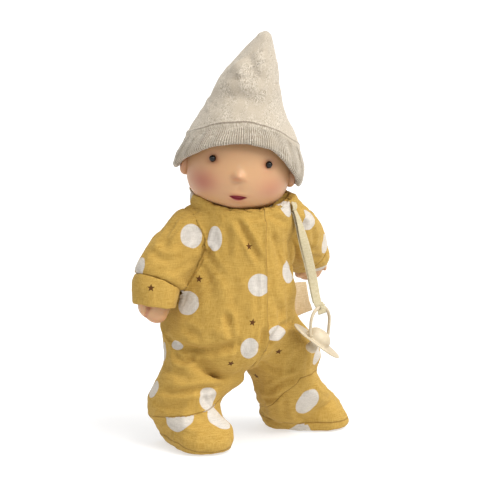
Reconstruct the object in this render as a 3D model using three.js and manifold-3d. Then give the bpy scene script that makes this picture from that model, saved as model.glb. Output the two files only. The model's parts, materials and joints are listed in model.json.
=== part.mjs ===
import * as THREE from 'three';
import { mergeVertices } from 'three/addons/utils/BufferGeometryUtils.js';
import Module from 'manifold-3d';

const wasm = await Module();
wasm.setup();

// Lengths are in millimetres. The figure stands on the plane z = 0 and looks towards -Y.
// Left and right are the figure's own.

// Fits shared by all pieces
const gap = 0.35;
const swingGap = 1;
const ease = 1;
const overrun = 6;
const cutterSize = 700;
const weld = 0.0005;

// Cloth, felt and stuffing
const clothWall = 1.8;
const feltWall = 3;
const soleFlat = 0.5;

// Attitude of the body and the head
const bodyYaw = THREE.MathUtils.degToRad(18);
const headRoll = THREE.MathUtils.degToRad(7);
const bodyPlace = new THREE.Vector3(3, 0, 0);
const headPlace = new THREE.Vector3(-1.6, 0, 226);

// Torso: level rings, evenly spaced from the crotch to the shoulders
const torsoBottom = 60;
const torsoTop = 202;
const torsoHalfWidth = 54;
const torsoHalfDepth = 42;
const torsoWidthShares = [0.92, 0.99, 0.91, 0.79, 0.71, 0.76, 0.78];
const torsoDepthShares = [0.95, 1, 0.97, 0.92, 0.86, 0.86, 0.81];
const torsoLeanShares = [-0.07, -0.16, -0.18, -0.1, -0.01, 0, 0];
const crotchRound = 34;
const shoulderRound = 9;

// Romper openings
const placketEdge = 6;
const placketWidth = 15;
const placketFold = 1.1;
const placketTop = 184;
const placketBottom = 84;
const studCount = 3;
const studRadius = 3.4;
const studThickness = 1.2;
const studSink = 1.8;
const collarHeight = 13;
const collarFoot = 190;
const collarRadius = 40;
const collarDepthShare = 0.86;
const collarWall = 4.2;
const collarTilt = THREE.MathUtils.degToRad(8);
const tagWidth = 12;
const tagLength = 27;
const tagThickness = 1;
const tagHeight = 117;
const tagSlope = THREE.MathUtils.degToRad(-6);

// Head, in its own frame with the centre at the level of the cheeks
const headSides = 22;
const headRadius = 41.5;
const crownHeight = 44;
const chinDepth = 34;
const cheekPower = 2.9;
const skullPower = 2.1;
const neckRadius = 18;
const neckDepth = 40;
const neckRound = 3;
const eyeRadius = 2.75;
const eyeSpread = 22.6;
const eyeHeight = 10;
const eyeSink = 0.9;
const noseRadius = 5.2;
const noseSink = 1.4;
const noseHeight = -1;
const mouthHalfWidth = 7;
const mouthHalfHeight = 2.2;
const mouthDepth = 2.6;
const mouthHeight = -19;
const mouthShift = -1.5;
const earReach = 5.5;
const earHalfDepth = 7;
const earHalfHeight = 9;
const earHeight = -8;

// Cap, in the frame of the head: rings that rise from the nape to the bent tip
const capEase = 1.5;
const capBottom = -34;
const capTop = 110;
const capTipLean = 9.8;
const capTipBack = 5;
const capRiseShares = [0, 0.139, 0.278, 0.417, 0.556, 0.694, 0.833, 1];
const capLeanShares = [0, 0, 0, 0, 0, 0.1, 0.3, 1];
const capBackShares = [0, 0, 0, 0, 0.1, 0.3, 0.6, 1];
const crownWidthShares = [1, 1, 0.99, 0.925, 0.72, 0.533, 0.36, 0.141];
const brimWall = 6;
const brimWallShares = [0.7, 0.85, 1, 0.65, 0.6, 0.6, 0.6, 0.6];
const capTipRound = 5;
const rimFront = 27;
const rimSide = -11;
const rimBack = -19;
const foldFront = 45;
const foldSide = 22;
const foldBack = 15;
const rimPower = 1.4;
const foldPower = 1.2;

// Arms: rings from the shoulder ball to the end of the cuff, given as shares of the reach between
const shoulderHeight = 170;
const shoulderSpread = 41;
const shoulderBall = 19;
const rightArmSide = 37.5;
const rightArmFront = 11.5;
const rightArmDrop = 66;
const rightArmSideShares = [0, 0.4, 0.75, 0.95, 1];
const rightArmFrontShares = [0, 0.17, 0.48, 0.78, 1];
const rightArmDropShares = [0, 0.2, 0.45, 0.73, 1];
const leftArmSide = 33;
const leftArmBack = 54;
const leftArmDrop = 42;
const leftArmSideShares = [0, 0.34, 0.66, 0.875, 1];
const leftArmBackShares = [0, 0.25, 0.51, 0.77, 1];
const leftArmDropShares = [0, 0.2, 0.45, 0.71, 1];
const sleeveHalfWidth = 20.5;
const sleeveHalfDepth = 20;
const sleeveWidthShares = [0.93, 1, 0.95, 0.88, 0.8];
const sleeveDepthShares = [0.95, 1, 0.925, 0.85, 0.8];
const cuffStartShare = 0.6;
const cuffEndShare = 0.83;
const cuffStandOff = 1.6;
const handShareOfSleeve = 0.78;
const handReach = 17;
const armRaise = 68;

// Legs: rings from the hip ball to the ground, given as shares of the step sideways and back
const hipHeight = 80;
const hipSpread = 31;
const hipShift = -3;
const hipBall = 27.5;
const legTop = 84;
const legFoot = 8;
const legRiseShares = [0, 0.21, 0.45, 0.71, 1];
const rightLegSide = 12;
const rightLegBack = -5;
const rightLegSideShares = [0, 0.29, 0.58, 0.92, 1];
const rightLegBackShares = [0, 0.6, 1, 0.7, 0.6];
const leftLegSide = 19;
const leftLegBack = 26;
const leftLegSideShares = [0, 0.26, 0.55, 0.89, 1];
const leftLegBackShares = [0, 0.19, 0.48, 0.85, 1];
const legHalfWidth = 30.5;
const legHalfDepth = 29;
const legWidthShares = [0.89, 0.935, 1, 0.935, 0.72];
const legDepthShares = [0.93, 0.965, 1, 0.93, 0.72];
const legRound = 16;
const legForward = 40;
const legBack = 20;
const ankleHeight = 31;
const soleHeight = 12;
const footLength = 72;
const footHalfWidth = 23.5;
const footHeight = 37;
const footHeelRound = 15;
const footToeRound = 17;
const footShares = [0, 0.33, 0.66, 1];
const footWidthShares = [0.77, 0.98, 1, 0.81];
const footHeightShares = [0.89, 1, 0.84, 0.54];
const rightFootSide = -44.5;
const rightFootBack = -14;
const leftFootSide = 58.6;
const leftFootBack = 28.3;
const rightFootYaw = THREE.MathUtils.degToRad(2);
const leftFootYaw = THREE.MathUtils.degToRad(64);

// Ribbon and soother
const ribbonHalfWidth = 3.5;
const ribbonHalfThickness = 0.7;
const ribbonRoute = [
  new THREE.Vector3(43, -15.2, 191),
  new THREE.Vector3(46, -15.6, 183),
  new THREE.Vector3(51, -17.5, 164.3),
  new THREE.Vector3(56, -21.5, 143.7),
  new THREE.Vector3(60.8, -26.6, 119),
];
const tackWidth = 6;
const tackHeight = 5;
const tackThickness = 1.2;
const tackAngle = THREE.MathUtils.degToRad(-38);
const shieldCentre = new THREE.Vector3(59.7, -24.6, 88);
const shieldNormal = new THREE.Vector3(0.58, -0.35, 0.74).normalize();
const shieldLong = new THREE.Vector3(0.787, 0, -0.617).normalize();
const shieldHalfLength = 22.5;
const shieldHalfWidth = 18.5;
const shieldThickness = 1.4;
const shieldWaistShare = 0.14;
const shieldCorners = 32;
const domeRadius = 10.5;
const domeHeight = 9;
const domeRings = 5;
const teatRadius = 5;
const teatLength = 6;
const pivotHeight = 4.2;
const pivotAxis = new THREE.Vector3(0.627, 0.768, -0.127).normalize();
const ringBar = 1.25;
const ringHeight = 24;
const ringInnerHalf = 10.6;
const pinLength = 3.4;
const loopWall = 0.8;

// Finishes: colour, roughness and metalness
const linen = { color: 0xc9a553, roughness: 0.95, metalness: 0 };
const felt = { color: 0xd2cabf, roughness: 1, metalness: 0 };
const skin = { color: 0xe2b48c, roughness: 0.62, metalness: 0 };
const jersey = { color: 0xe4c3a2, roughness: 0.95, metalness: 0 };
const glass = { color: 0x15110f, roughness: 0.12, metalness: 0 };
const satin = { color: 0xddd2b2, roughness: 0.8, metalness: 0 };
const rubber = { color: 0xd9c8ab, roughness: 0.55, metalness: 0 };
const cotton = { color: 0xefe1bf, roughness: 0.9, metalness: 0 };
const steel = { color: 0xb9bcc0, roughness: 0.35, metalness: 1 };

const up = new THREE.Vector3(0, 0, 1);
const front = new THREE.Vector3(0, -1, 0);
const across = new THREE.Vector3(1, 0, 0);

// A table of shares in real size
const sized = (size, shares) => shares.map((share) => size * share);

// Solids from geometries, and back
function solid(geometry) {
  const bare = geometry.clone();
  bare.deleteAttribute('normal');
  bare.deleteAttribute('uv');
  const welded = mergeVertices(bare, weld);
  return new wasm.Manifold(new wasm.Mesh({
    numProp: 3,
    vertProperties: welded.attributes.position.array,
    triVerts: new Uint32Array(welded.index.array),
  }));
}

function surface(manifold) {
  const { vertProperties, triVerts, numProp } = manifold.getMesh();
  const geometry = new THREE.BufferGeometry();
  const corners = new Float32Array(triVerts.length * 3);
  triVerts.forEach((vertex, corner) => {
    for (let axis = 0; axis < 3; axis += 1) {
      corners[corner * 3 + axis] = vertProperties[vertex * numProp + axis];
    }
  });
  geometry.setAttribute('position', new THREE.BufferAttribute(corners, 3));
  return mergeVertices(geometry, weld);
}

// Keeps the largest body of a cut piece and leaves out the crumbs beside it
function mainBody(geometry) {
  const index = geometry.index.array;
  const faces = index.length / 3;
  const parent = Array.from({ length: faces }, (unused, place) => place);
  const root = (face) => {
    let top = face;
    while (parent[top] !== top) top = parent[top];
    parent[face] = top;
    return top;
  };
  const edges = new Map();
  for (let corner = 0; corner < index.length; corner += 1) {
    const face = Math.floor(corner / 3);
    const next = face * 3 + ((corner + 1) % 3);
    const ends = [index[corner], index[next]].sort((one, other) => one - other).join(' ');
    if (edges.has(ends)) parent[root(face)] = root(edges.get(ends));
    else edges.set(ends, face);
  }
  const counts = new Map();
  for (let face = 0; face < faces; face += 1) counts.set(root(face), (counts.get(root(face)) ?? 0) + 1);
  const [largest] = [...counts.entries()].sort((one, other) => other[1] - one[1])[0];
  const kept = [];
  for (let face = 0; face < faces; face += 1) {
    if (root(face) === largest) kept.push(...index.slice(face * 3, face * 3 + 3));
  }
  const body = new THREE.BufferGeometry();
  body.setAttribute('position', geometry.attributes.position);
  body.setIndex(kept);
  return body;
}

// A limb-like solid: rounded rings along a spine, rounded off at both ends
function loft(form, inset = 0) {
  const { spine, widths, depths, facing, rounds, sides, steps, power } = form;
  const path = new THREE.CatmullRomCurve3(spine);
  const girth = new THREE.CatmullRomCurve3(
    widths.map((width, i) => new THREE.Vector3(width, depths[i], 0)));
  const reach = path.getLength();
  const endShare = Math.max(inset, 0) / reach;
  const ringShare = weld / gap;
  const positions = [];
  const index = [];
  const swell = (travel, round) => {
    const left = 1 - Math.min(travel / Math.max(round - inset, gap), 1);
    return Math.sqrt(1 - left * left);
  };
  for (let step = 0; step <= steps; step += 1) {
    const share = (1 - Math.cos(Math.PI * step / steps)) / 2;
    const along = THREE.MathUtils.clamp(
      share, endShare + step * ringShare, 1 - endShare - (steps - step) * ringShare);
    const centre = path.getPoint(along);
    if (step === 0) centre.addScaledVector(path.getTangent(0), Math.min(inset, 0));
    if (step === steps) centre.addScaledVector(path.getTangent(1), Math.max(-inset, 0));
    if (step === 0 || step === steps) {
      positions.push(centre.x, centre.y, centre.z);
      continue;
    }
    const tangent = path.getTangent(along);
    const deep = facing.clone().addScaledVector(tangent, -facing.dot(tangent)).normalize();
    const wide = deep.clone().cross(tangent);
    const size = girth.getPoint(along);
    const travel = along * reach - inset;
    const round = swell(travel, rounds[0]) * swell(reach - 2 * inset - travel, rounds[1]);
    for (let side = 0; side < sides; side += 1) {
      const angle = 2 * Math.PI * side / sides;
      const [c, s] = [Math.cos(angle), Math.sin(angle)];
      const outward = Math.sign(c) * Math.abs(c) ** (2 / power) * (size.x - inset) * round;
      const forward = Math.sign(s) * Math.abs(s) ** (2 / power) * (size.y - inset) * round;
      const point = centre.clone().addScaledVector(wide, outward).addScaledVector(deep, forward);
      positions.push(point.x, point.y, point.z);
    }
  }
  const last = positions.length / 3 - 1;
  const at = (ring, side) => 1 + ring * sides + (side % sides);
  for (let side = 0; side < sides; side += 1) {
    index.push(0, at(0, side + 1), at(0, side));
    index.push(last, at(steps - 2, side), at(steps - 2, side + 1));
    for (let ring = 0; ring < steps - 2; ring += 1) {
      index.push(at(ring, side), at(ring, side + 1), at(ring + 1, side + 1));
      index.push(at(ring, side), at(ring + 1, side + 1), at(ring + 1, side));
    }
  }
  const geometry = new THREE.BufferGeometry();
  geometry.setAttribute('position', new THREE.Float32BufferAttribute(positions, 3));
  geometry.setIndex(index);
  return geometry;
}

// A block that fills the side of a plane to which the normal points
function beyond(point, normal) {
  const block = new THREE.BoxGeometry(cutterSize, cutterSize, cutterSize);
  block.translate(0, 0, cutterSize / 2);
  block.applyQuaternion(new THREE.Quaternion().setFromUnitVectors(up, normal.clone().normalize()));
  block.translate(point.x, point.y, point.z);
  return solid(block);
}

function ball(radius, centre, columns = 14, rows = 9) {
  const sphere = new THREE.SphereGeometry(radius, columns, rows);
  sphere.translate(centre.x, centre.y, centre.z);
  return sphere;
}

function ellipsoid(half, centre, columns = 12, rows = 8) {
  const sphere = new THREE.SphereGeometry(1, columns, rows);
  sphere.scale(half.x, half.y, half.z);
  sphere.translate(centre.x, centre.y, centre.z);
  return sphere;
}

// A lathe's profile is drawn as radius and height, and turned about the Z axis
function turned(profile, segments) {
  const outline = profile.map(([radius, height]) => new THREE.Vector2(radius, height));
  const geometry = new THREE.LatheGeometry(outline, segments);
  geometry.rotateX(Math.PI / 2);
  return geometry;
}

// The same geometry in the frame of another group
function carried(geometry, from, to) {
  const shift = to.matrixWorld.clone().invert().multiply(from.matrixWorld);
  return geometry.clone().applyMatrix4(shift);
}

// A solid turned about an axis through a pivot
function swung(geometry, axis, pivot, degrees) {
  const turn = new THREE.Matrix4().makeRotationAxis(axis, THREE.MathUtils.degToRad(degrees));
  const there = new THREE.Matrix4().makeTranslation(pivot.x, pivot.y, pivot.z);
  const back = new THREE.Matrix4().makeTranslation(-pivot.x, -pivot.y, -pivot.z);
  return geometry.clone().applyMatrix4(there.multiply(turn).multiply(back));
}

function piece(name, geometry, finish, group) {
  const shown = geometry.index ? geometry.toNonIndexed() : geometry;
  shown.computeVertexNormals();
  const mesh = new THREE.Mesh(shown, new THREE.MeshStandardMaterial(finish));
  mesh.name = name;
  group.add(mesh);
  return mesh;
}

const doll = new THREE.Group();
const body = new THREE.Group();
body.position.copy(bodyPlace);
body.rotation.z = bodyYaw;
const head = new THREE.Group();
head.position.copy(headPlace);
head.rotation.y = headRoll;
const strap = new THREE.Group();
doll.add(body, head, strap);
doll.updateMatrixWorld(true);

// Head of smooth turned form with a neck plug, moulded ears, nose, mouth and eye sockets
function headProfile(grow) {
  const radius = headRadius + grow;
  const points = [[0, -neckDepth - grow], [neckRadius + grow - neckRound, -neckDepth - grow]];
  points.push([neckRadius + grow, -neckDepth - grow + neckRound]);
  const arcSteps = 16;
  for (let step = 0; step <= arcSteps; step += 1) {
    const angle = Math.PI * (step / arcSteps - 1 / 2);
    const [power, height] = angle < 0 ? [cheekPower, chinDepth] : [skullPower, crownHeight];
    const out = radius * Math.cos(angle) ** (2 / power);
    const rise = Math.sign(angle) * (height + grow) * Math.abs(Math.sin(angle)) ** (2 / power);
    if (angle > 0 || out > neckRadius + grow) points.push([Math.max(out, 0), rise]);
  }
  points[points.length - 1] = [0, crownHeight + grow];
  return points;
}

function faceDepth(x, z) {
  const [power, height] = z < 0 ? [cheekPower, chinDepth] : [skullPower, crownHeight];
  const level = headRadius * (1 - Math.abs(z / height) ** power) ** (1 / power);
  return -Math.sqrt(level * level - x * x);
}

const headBlank = turned(headProfile(0), headSides);
const headRoom = turned(headProfile(swingGap), headSides);
const earHalf = new THREE.Vector3(earReach, earHalfDepth, earHalfHeight);
const earCentre = (side) => new THREE.Vector3(side * headRadius, 0, earHeight);
const eyeCentre = (side) => {
  const x = side * eyeSpread;
  return new THREE.Vector3(x, faceDepth(x, eyeHeight) + eyeSink, eyeHeight);
};
const noseCentre = new THREE.Vector3(0, faceDepth(0, noseHeight) + noseSink, noseHeight);
const mouthCentre = new THREE.Vector3(mouthShift, faceDepth(mouthShift, mouthHeight), mouthHeight);
const mouthHalf = new THREE.Vector3(mouthHalfWidth, mouthDepth, mouthHalfHeight);

let headSolid = solid(headBlank).add(solid(ball(noseRadius, noseCentre, 12, 8)));
for (const side of [-1, 1]) {
  headSolid = headSolid.add(solid(ellipsoid(earHalf, earCentre(side))));
  headSolid = headSolid.subtract(solid(ball(eyeRadius + gap, eyeCentre(side), 10, 7)));
}
headSolid = headSolid.subtract(solid(ellipsoid(mouthHalf, mouthCentre)));
piece('head', mainBody(surface(headSolid)), skin, head);
for (const [side, name] of [[-1, 'right_eye'], [1, 'left_eye']]) {
  piece(name, ball(eyeRadius, eyeCentre(side), 10, 7), glass, head);
}

// Cap: a hollow pointed crown and the wide edge folded up round it
const crownSpine = capRiseShares.map((share, i) => new THREE.Vector3(
  capTipLean * capLeanShares[i],
  capTipBack * capBackShares[i],
  THREE.MathUtils.lerp(capBottom, capTop, share),
));
const crownHalfWidths = sized(headRadius + capEase + feltWall, crownWidthShares);
const brimHalfWidths = crownHalfWidths.map((width, i) => width + brimWall * brimWallShares[i]);
const capForm = {
  spine: crownSpine, widths: crownHalfWidths, depths: crownHalfWidths,
  facing: front, rounds: [gap, capTipRound], sides: 20, steps: 9, power: 2,
};
const brimForm = { ...capForm, widths: brimHalfWidths, depths: brimHalfWidths };

// A skirt whose top edge dips from the forehead over the ears to the nape
function skirt(frontHeight, sideHeight, backHeight, power) {
  const far = cutterSize / 4;
  const near = headRadius / 2;
  const cylinder = turned([[0, -cutterSize], [far, -cutterSize], [far, 0], [near, 0], [0, 0]], 20);
  const place = cylinder.attributes.position;
  for (let corner = 0; corner < place.count; corner += 1) {
    const radius = Math.hypot(place.getX(corner), place.getY(corner));
    const facing = radius > gap ? -place.getY(corner) / radius : 0;
    const height = facing > 0 ? frontHeight : backHeight;
    const edge = THREE.MathUtils.lerp(sideHeight, height, Math.abs(facing) ** power);
    if (place.getZ(corner) > -overrun) place.setZ(corner, edge);
  }
  return cylinder;
}

const belowRim = solid(skirt(rimFront, rimSide, rimBack, rimPower));
const belowFold = solid(skirt(foldFront, foldSide, foldBack, foldPower));
let capHollow = solid(loft(capForm, feltWall));
for (const side of [-1, 1]) {
  const room = new THREE.CapsuleGeometry(1, -rimBack, 4, 12);
  room.rotateX(Math.PI / 2);
  room.scale(earHalf.x + gap, earHalf.y + gap, 1);
  room.translate(side * headRadius, 0, earHeight + earHalf.z + gap + rimBack / 2);
  capHollow = capHollow.add(solid(room));
}
const crownSolid = solid(loft(capForm)).subtract(capHollow).subtract(belowRim);
piece('cap_crown', mainBody(surface(crownSolid)), felt, head);
const brimSolid = solid(loft(brimForm)).subtract(solid(loft(capForm, -gap))).subtract(capHollow)
  .subtract(belowRim).intersect(belowFold);
piece('cap_brim', mainBody(surface(brimSolid)), felt, head);

// Torso: stuffed body inside, romper panels outside
const torsoSpine = torsoLeanShares.map((share, i) => new THREE.Vector3(
  torsoHalfWidth * share, 0,
  THREE.MathUtils.lerp(torsoBottom, torsoTop, i / (torsoLeanShares.length - 1)),
));
const torsoHalfWidths = sized(torsoHalfWidth, torsoWidthShares);
const torsoHalfDepths = sized(torsoHalfDepth, torsoDepthShares);
const torsoForm = {
  spine: torsoSpine, widths: torsoHalfWidths, depths: torsoHalfDepths,
  facing: front, rounds: [crotchRound, shoulderRound], sides: 16, steps: 9, power: 2.3,
};
const headRoomHere = solid(carried(headRoom, head, body));
const shoulders = [-1, 1].map((side) => new THREE.Vector3(side * shoulderSpread, 0, shoulderHeight));
const hips = [-1, 1].map((side) => new THREE.Vector3(side * hipSpread + hipShift, 0, hipHeight));

// The collar leans forward, in a frame of its own at its foot
const collarFrame = new THREE.Group();
collarFrame.position.set(0, 0, collarFoot);
collarFrame.rotation.x = collarTilt;
body.add(collarFrame);
doll.updateMatrixWorld(true);

function collarRing(grow) {
  const ring = turned([
    [collarRadius - collarWall - grow, -grow],
    [collarRadius + grow, -grow],
    [collarRadius + grow, collarHeight - collarWall / 2],
    [collarRadius - collarWall / 2, collarHeight + grow],
    [collarRadius - collarWall - grow, collarHeight - collarWall / 2],
    [collarRadius - collarWall - grow, -grow],
  ], 20);
  ring.scale(1, collarDepthShare, 1);
  return carried(ring, collarFrame, body);
}

function withoutJoints(blank) {
  let cut = blank.subtract(headRoomHere);
  for (const shoulder of shoulders) cut = cut.subtract(solid(ball(shoulderBall + swingGap, shoulder)));
  for (const hip of hips) cut = cut.subtract(solid(ball(hipBall + swingGap, hip)));
  return cut;
}

const torsoOuter = withoutJoints(solid(loft(torsoForm))).subtract(solid(collarRing(gap)));
const torsoHollow = solid(loft(torsoForm, clothWall));
const collarUp = up.clone().applyAxisAngle(across, collarTilt);
const aboveCollarFoot = beyond(
  collarFrame.position.clone().addScaledVector(collarUp, -gap), collarUp);
piece('collar', mainBody(surface(solid(collarRing(0)).subtract(headRoomHere))), linen, body);

const studSeat = (place) => {
  const stud = new THREE.CylinderGeometry(studRadius, studRadius, studThickness, 12);
  stud.translate(place.x, place.y, place.z);
  return stud;
};
const studPlaces = Array.from({ length: studCount }, (unused, number) => {
  const height = THREE.MathUtils.lerp(placketBottom, placketTop, (number + 1) / (studCount + 1));
  const share = (height - torsoBottom) / (torsoTop - torsoBottom);
  const girth = new THREE.CatmullRomCurve3(torsoHalfWidths.map((width, i) => (
    new THREE.Vector3(width, torsoHalfDepths[i], 0))));
  const centre = new THREE.CatmullRomCurve3(torsoSpine).getPoint(share);
  const size = girth.getPoint(share);
  const x = placketEdge - placketWidth / 2;
  const side = Math.abs((x - centre.x) / size.x);
  const depth = size.y * (1 - side ** torsoForm.power) ** (1 / torsoForm.power);
  return new THREE.Vector3(x, -depth + studSink + studThickness / 2, height);
});

const studHoles = studPlaces.map((place) => {
  const hole = new THREE.CylinderGeometry(studRadius + gap, studRadius + gap, overrun, 12);
  hole.translate(place.x, place.y, place.z);
  return solid(hole);
});
const pierced = (blank) => studHoles.reduce((cut, hole) => cut.subtract(hole), blank);
const stuffing = withoutJoints(solid(loft(torsoForm, clothWall + gap))).subtract(aboveCollarFoot);
piece('torso_body', mainBody(surface(pierced(stuffing))), jersey, body);

const romper = pierced(torsoOuter.subtract(torsoHollow));
const sideSeam = new THREE.Vector3();
const back = front.clone().negate();
const rightwards = across.clone().negate();
const frontSeam = new THREE.Vector3(placketEdge - placketWidth, 0, 0);
const panelCuts = {
  romper_front_right: [[sideSeam, back], [frontSeam, across]],
  romper_front_left: [[sideSeam, back], [frontSeam, rightwards]],
  romper_back_right: [[sideSeam, front], [sideSeam, across]],
  romper_back_left: [[sideSeam, front], [sideSeam, rightwards]],
};
for (const [name, cuts] of Object.entries(panelCuts)) {
  let panel = romper;
  for (const [point, normal] of cuts) {
    panel = panel.subtract(beyond(point.clone().addScaledVector(normal, -gap / 2), normal));
  }
  piece(name, mainBody(surface(panel)), linen, body);
}
studPlaces.forEach((place, number) => piece(`press_stud_${number + 1}`, studSeat(place), steel, body));

// Placket flap lying on the front panels
const placketBlock = new THREE.BoxGeometry(placketWidth, cutterSize / 4, placketTop - placketBottom);
placketBlock.translate(placketEdge - placketWidth / 2, -cutterSize / 8, (placketTop + placketBottom) / 2);
const placket = solid(loft(torsoForm, -gap - placketFold)).subtract(solid(loft(torsoForm, -gap)))
  .intersect(solid(placketBlock)).subtract(solid(collarRing(gap))).subtract(headRoomHere);
piece('placket', mainBody(surface(placket)), linen, body);

// Side tag: a bare folded tape held in the left side seam
const tagShare = (tagHeight - torsoBottom) / (torsoTop - torsoBottom);
const tagCentre = new THREE.CatmullRomCurve3(torsoSpine).getPoint(tagShare);
const tagGirth = new THREE.CatmullRomCurve3(
  torsoHalfWidths.map((width) => new THREE.Vector3(width, 0, 0)));
const tag = new THREE.BoxGeometry(tagWidth, tagThickness, tagLength);
tag.rotateY(tagSlope);
tag.translate(tagCentre.x + tagGirth.getPoint(tagShare).x + tagWidth / 2 - clothWall, 0, tagHeight);
const tagSolid = solid(tag).subtract(solid(loft(torsoForm, -gap)))
  .subtract(solid(ball(hipBall + swingGap, hips[1])));
piece('side_tag', mainBody(surface(tagSolid)), cotton, body);

// A limb is cut clear of the torso at every angle it swings to, and ends in a ball
function clearOfTorso(limb, axis, pivot, angles, room) {
  const torsoRoom = loft(torsoForm, -room);
  let cut = limb;
  for (const angle of angles) cut = cut.subtract(solid(swung(torsoRoom, axis, pivot, angle)));
  return cut;
}

// Outside, hollow and filling of a covered limb: how far each lies inside the cover's face, and
// how far it keeps off the torso
const outside = [0, swingGap];
const hollowed = [clothWall, swingGap - gap];
const filling = [clothWall + ease, swingGap + gap];

// Arms
const sleeveHalfWidths = sized(sleeveHalfWidth, sleeveWidthShares);
const sleeveHalfDepths = sized(sleeveHalfDepth, sleeveDepthShares);

function armSpine(pivot, aside, backwards, drop) {
  return drop.map((fall, i) => pivot.clone().add(new THREE.Vector3(aside[i], backwards[i], -fall)));
}

function buildArm(name, spine, pivot, raiseSign) {
  const form = {
    spine, widths: sleeveHalfWidths, depths: sleeveHalfDepths,
    facing: front, rounds: [gap, gap], sides: 14, steps: 8, power: 2,
  };
  const path = new THREE.CatmullRomCurve3(spine);
  const cuffStart = path.getPoint(cuffStartShare);
  const cuffEnd = path.getPoint(cuffEndShare);
  const startWay = path.getTangent(cuffStartShare);
  const endWay = path.getTangent(cuffEndShare);
  const angles = [0, armRaise / 2, armRaise].map((angle) => -raiseSign * angle);
  const limb = ([inset, room]) => clearOfTorso(solid(loft(form, inset)), front, pivot, angles, room)
    .add(solid(ball(shoulderBall - inset, pivot)));
  const pastStart = beyond(cuffStart.clone().addScaledVector(startWay, -gap), startWay);
  const pastEnd = beyond(cuffEnd, endWay);
  const beforeStart = beyond(cuffStart, startWay.clone().negate());
  const sleeve = limb(outside).subtract(limb(hollowed)).subtract(pastStart);
  piece(`${name}_sleeve`, mainBody(surface(sleeve)), linen, body);
  const cuff = clearOfTorso(solid(loft(form, -cuffStandOff)), front, pivot, angles, swingGap)
    .subtract(solid(loft(form, clothWall))).subtract(beforeStart).subtract(pastEnd);
  piece(`${name}_cuff`, mainBody(surface(cuff)), linen, body);

  const palmStart = path.getPoint((cuffStartShare + cuffEndShare) / 2);
  const stuffed = limb(filling).subtract(beyond(palmStart, endWay));
  piece(`${name}_arm`, mainBody(surface(stuffed)), jersey, body);
  const palmEnd = cuffEnd.clone().addScaledVector(endWay, handReach);
  const handHalf = sleeveHalfWidths.at(-1) * handShareOfSleeve;
  const hand = loft({
    ...form,
    spine: [palmStart, palmStart.clone().lerp(palmEnd, 1 / 2), palmEnd],
    widths: [handHalf, handHalf, handHalf * handShareOfSleeve],
    depths: [handHalf, handHalf * handShareOfSleeve, handHalf * handShareOfSleeve],
    rounds: [gap, handHalf],
    steps: 10,
  });
  const handSolid = clearOfTorso(solid(hand), front, pivot, angles, swingGap)
    .subtract(beyond(palmStart.clone().addScaledVector(endWay, gap), endWay.clone().negate()));
  piece(`${name}_hand`, mainBody(surface(handSolid)), skin, body);
}

const rightArmSpine = armSpine(
  shoulders[0],
  sized(-rightArmSide, rightArmSideShares),
  sized(-rightArmFront, rightArmFrontShares),
  sized(rightArmDrop, rightArmDropShares),
);
const leftArmSpine = armSpine(
  shoulders[1],
  sized(leftArmSide, leftArmSideShares),
  sized(leftArmBack, leftArmBackShares),
  sized(leftArmDrop, leftArmDropShares),
);
buildArm('right', rightArmSpine, shoulders[0], -1);
buildArm('left', leftArmSpine, shoulders[1], 1);

// Legs
const legHalfWidths = sized(legHalfWidth, legWidthShares);
const legHalfDepths = sized(legHalfDepth, legDepthShares);
const footHeights = sized(footHeight, footHeightShares);

function legSpine(pivot, aside, backwards) {
  return legRiseShares.map((share, i) => new THREE.Vector3(
    pivot.x + aside[i], backwards[i], THREE.MathUtils.lerp(legTop, legFoot, share)));
}

function buildLeg(name, spine, pivot, footPlace, footYaw) {
  const form = {
    spine, widths: legHalfWidths, depths: legHalfDepths,
    facing: front, rounds: [gap, legRound], sides: 14, steps: 8, power: 2.1,
  };
  const toeWay = new THREE.Vector3(Math.sin(footYaw), -Math.cos(footYaw), 0);
  const foot = {
    spine: footShares.map((share, i) => footPlace.clone()
      .addScaledVector(toeWay, footLength * (share - 1 / 2))
      .addScaledVector(up, footHeights[i] / 2 - soleFlat)),
    widths: sized(footHalfWidth, footWidthShares),
    depths: footHeights.map((height) => height / 2),
    facing: up, rounds: [footHeelRound, footToeRound], sides: 14, steps: 8, power: 2.4,
  };
  const angles = [legForward, 0, -legBack];
  const limb = ([inset, room]) => clearOfTorso(solid(loft(form, inset)), across, pivot, angles, room)
    .add(solid(ball(hipBall - inset, pivot))).add(solid(loft(foot, inset)));
  const floor = beyond(new THREE.Vector3(), up.clone().negate());
  const ankle = up.clone().multiplyScalar(ankleHeight);
  const soleLine = up.clone().multiplyScalar(soleHeight);
  const cover = limb(outside).subtract(floor);
  const hollow = limb(hollowed);
  const shell = cover.subtract(hollow);
  const lift = up.clone().multiplyScalar(gap);
  const down = up.clone().negate();
  const trouser = shell.subtract(beyond(ankle.clone().add(lift), down));
  piece(`${name}_trouser`, mainBody(surface(trouser)), linen, body);
  const upper = shell.subtract(beyond(ankle, up)).subtract(beyond(soleLine.clone().add(lift), down));
  piece(`${name}_foot_upper`, mainBody(surface(upper)), linen, body);
  piece(`${name}_sole`, mainBody(surface(shell.subtract(beyond(soleLine, up)))), linen, body);
  const insole = beyond(up.clone().multiplyScalar(clothWall + ease), down);
  piece(`${name}_leg`, mainBody(surface(limb(filling).subtract(insole))), jersey, body);
}

const rightLegSpine = legSpine(
  hips[0],
  sized(-rightLegSide, rightLegSideShares),
  sized(rightLegBack, rightLegBackShares),
);
const leftLegSpine = legSpine(
  hips[1],
  sized(leftLegSide, leftLegSideShares),
  sized(leftLegBack, leftLegBackShares),
);
const rightFootPlace = new THREE.Vector3(rightFootSide, rightFootBack, 0);
const leftFootPlace = new THREE.Vector3(leftFootSide, leftFootBack, 0);
buildLeg('right', rightLegSpine, hips[0], rightFootPlace, rightFootYaw);
buildLeg('left', leftLegSpine, hips[1], leftFootPlace, leftFootYaw);

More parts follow.
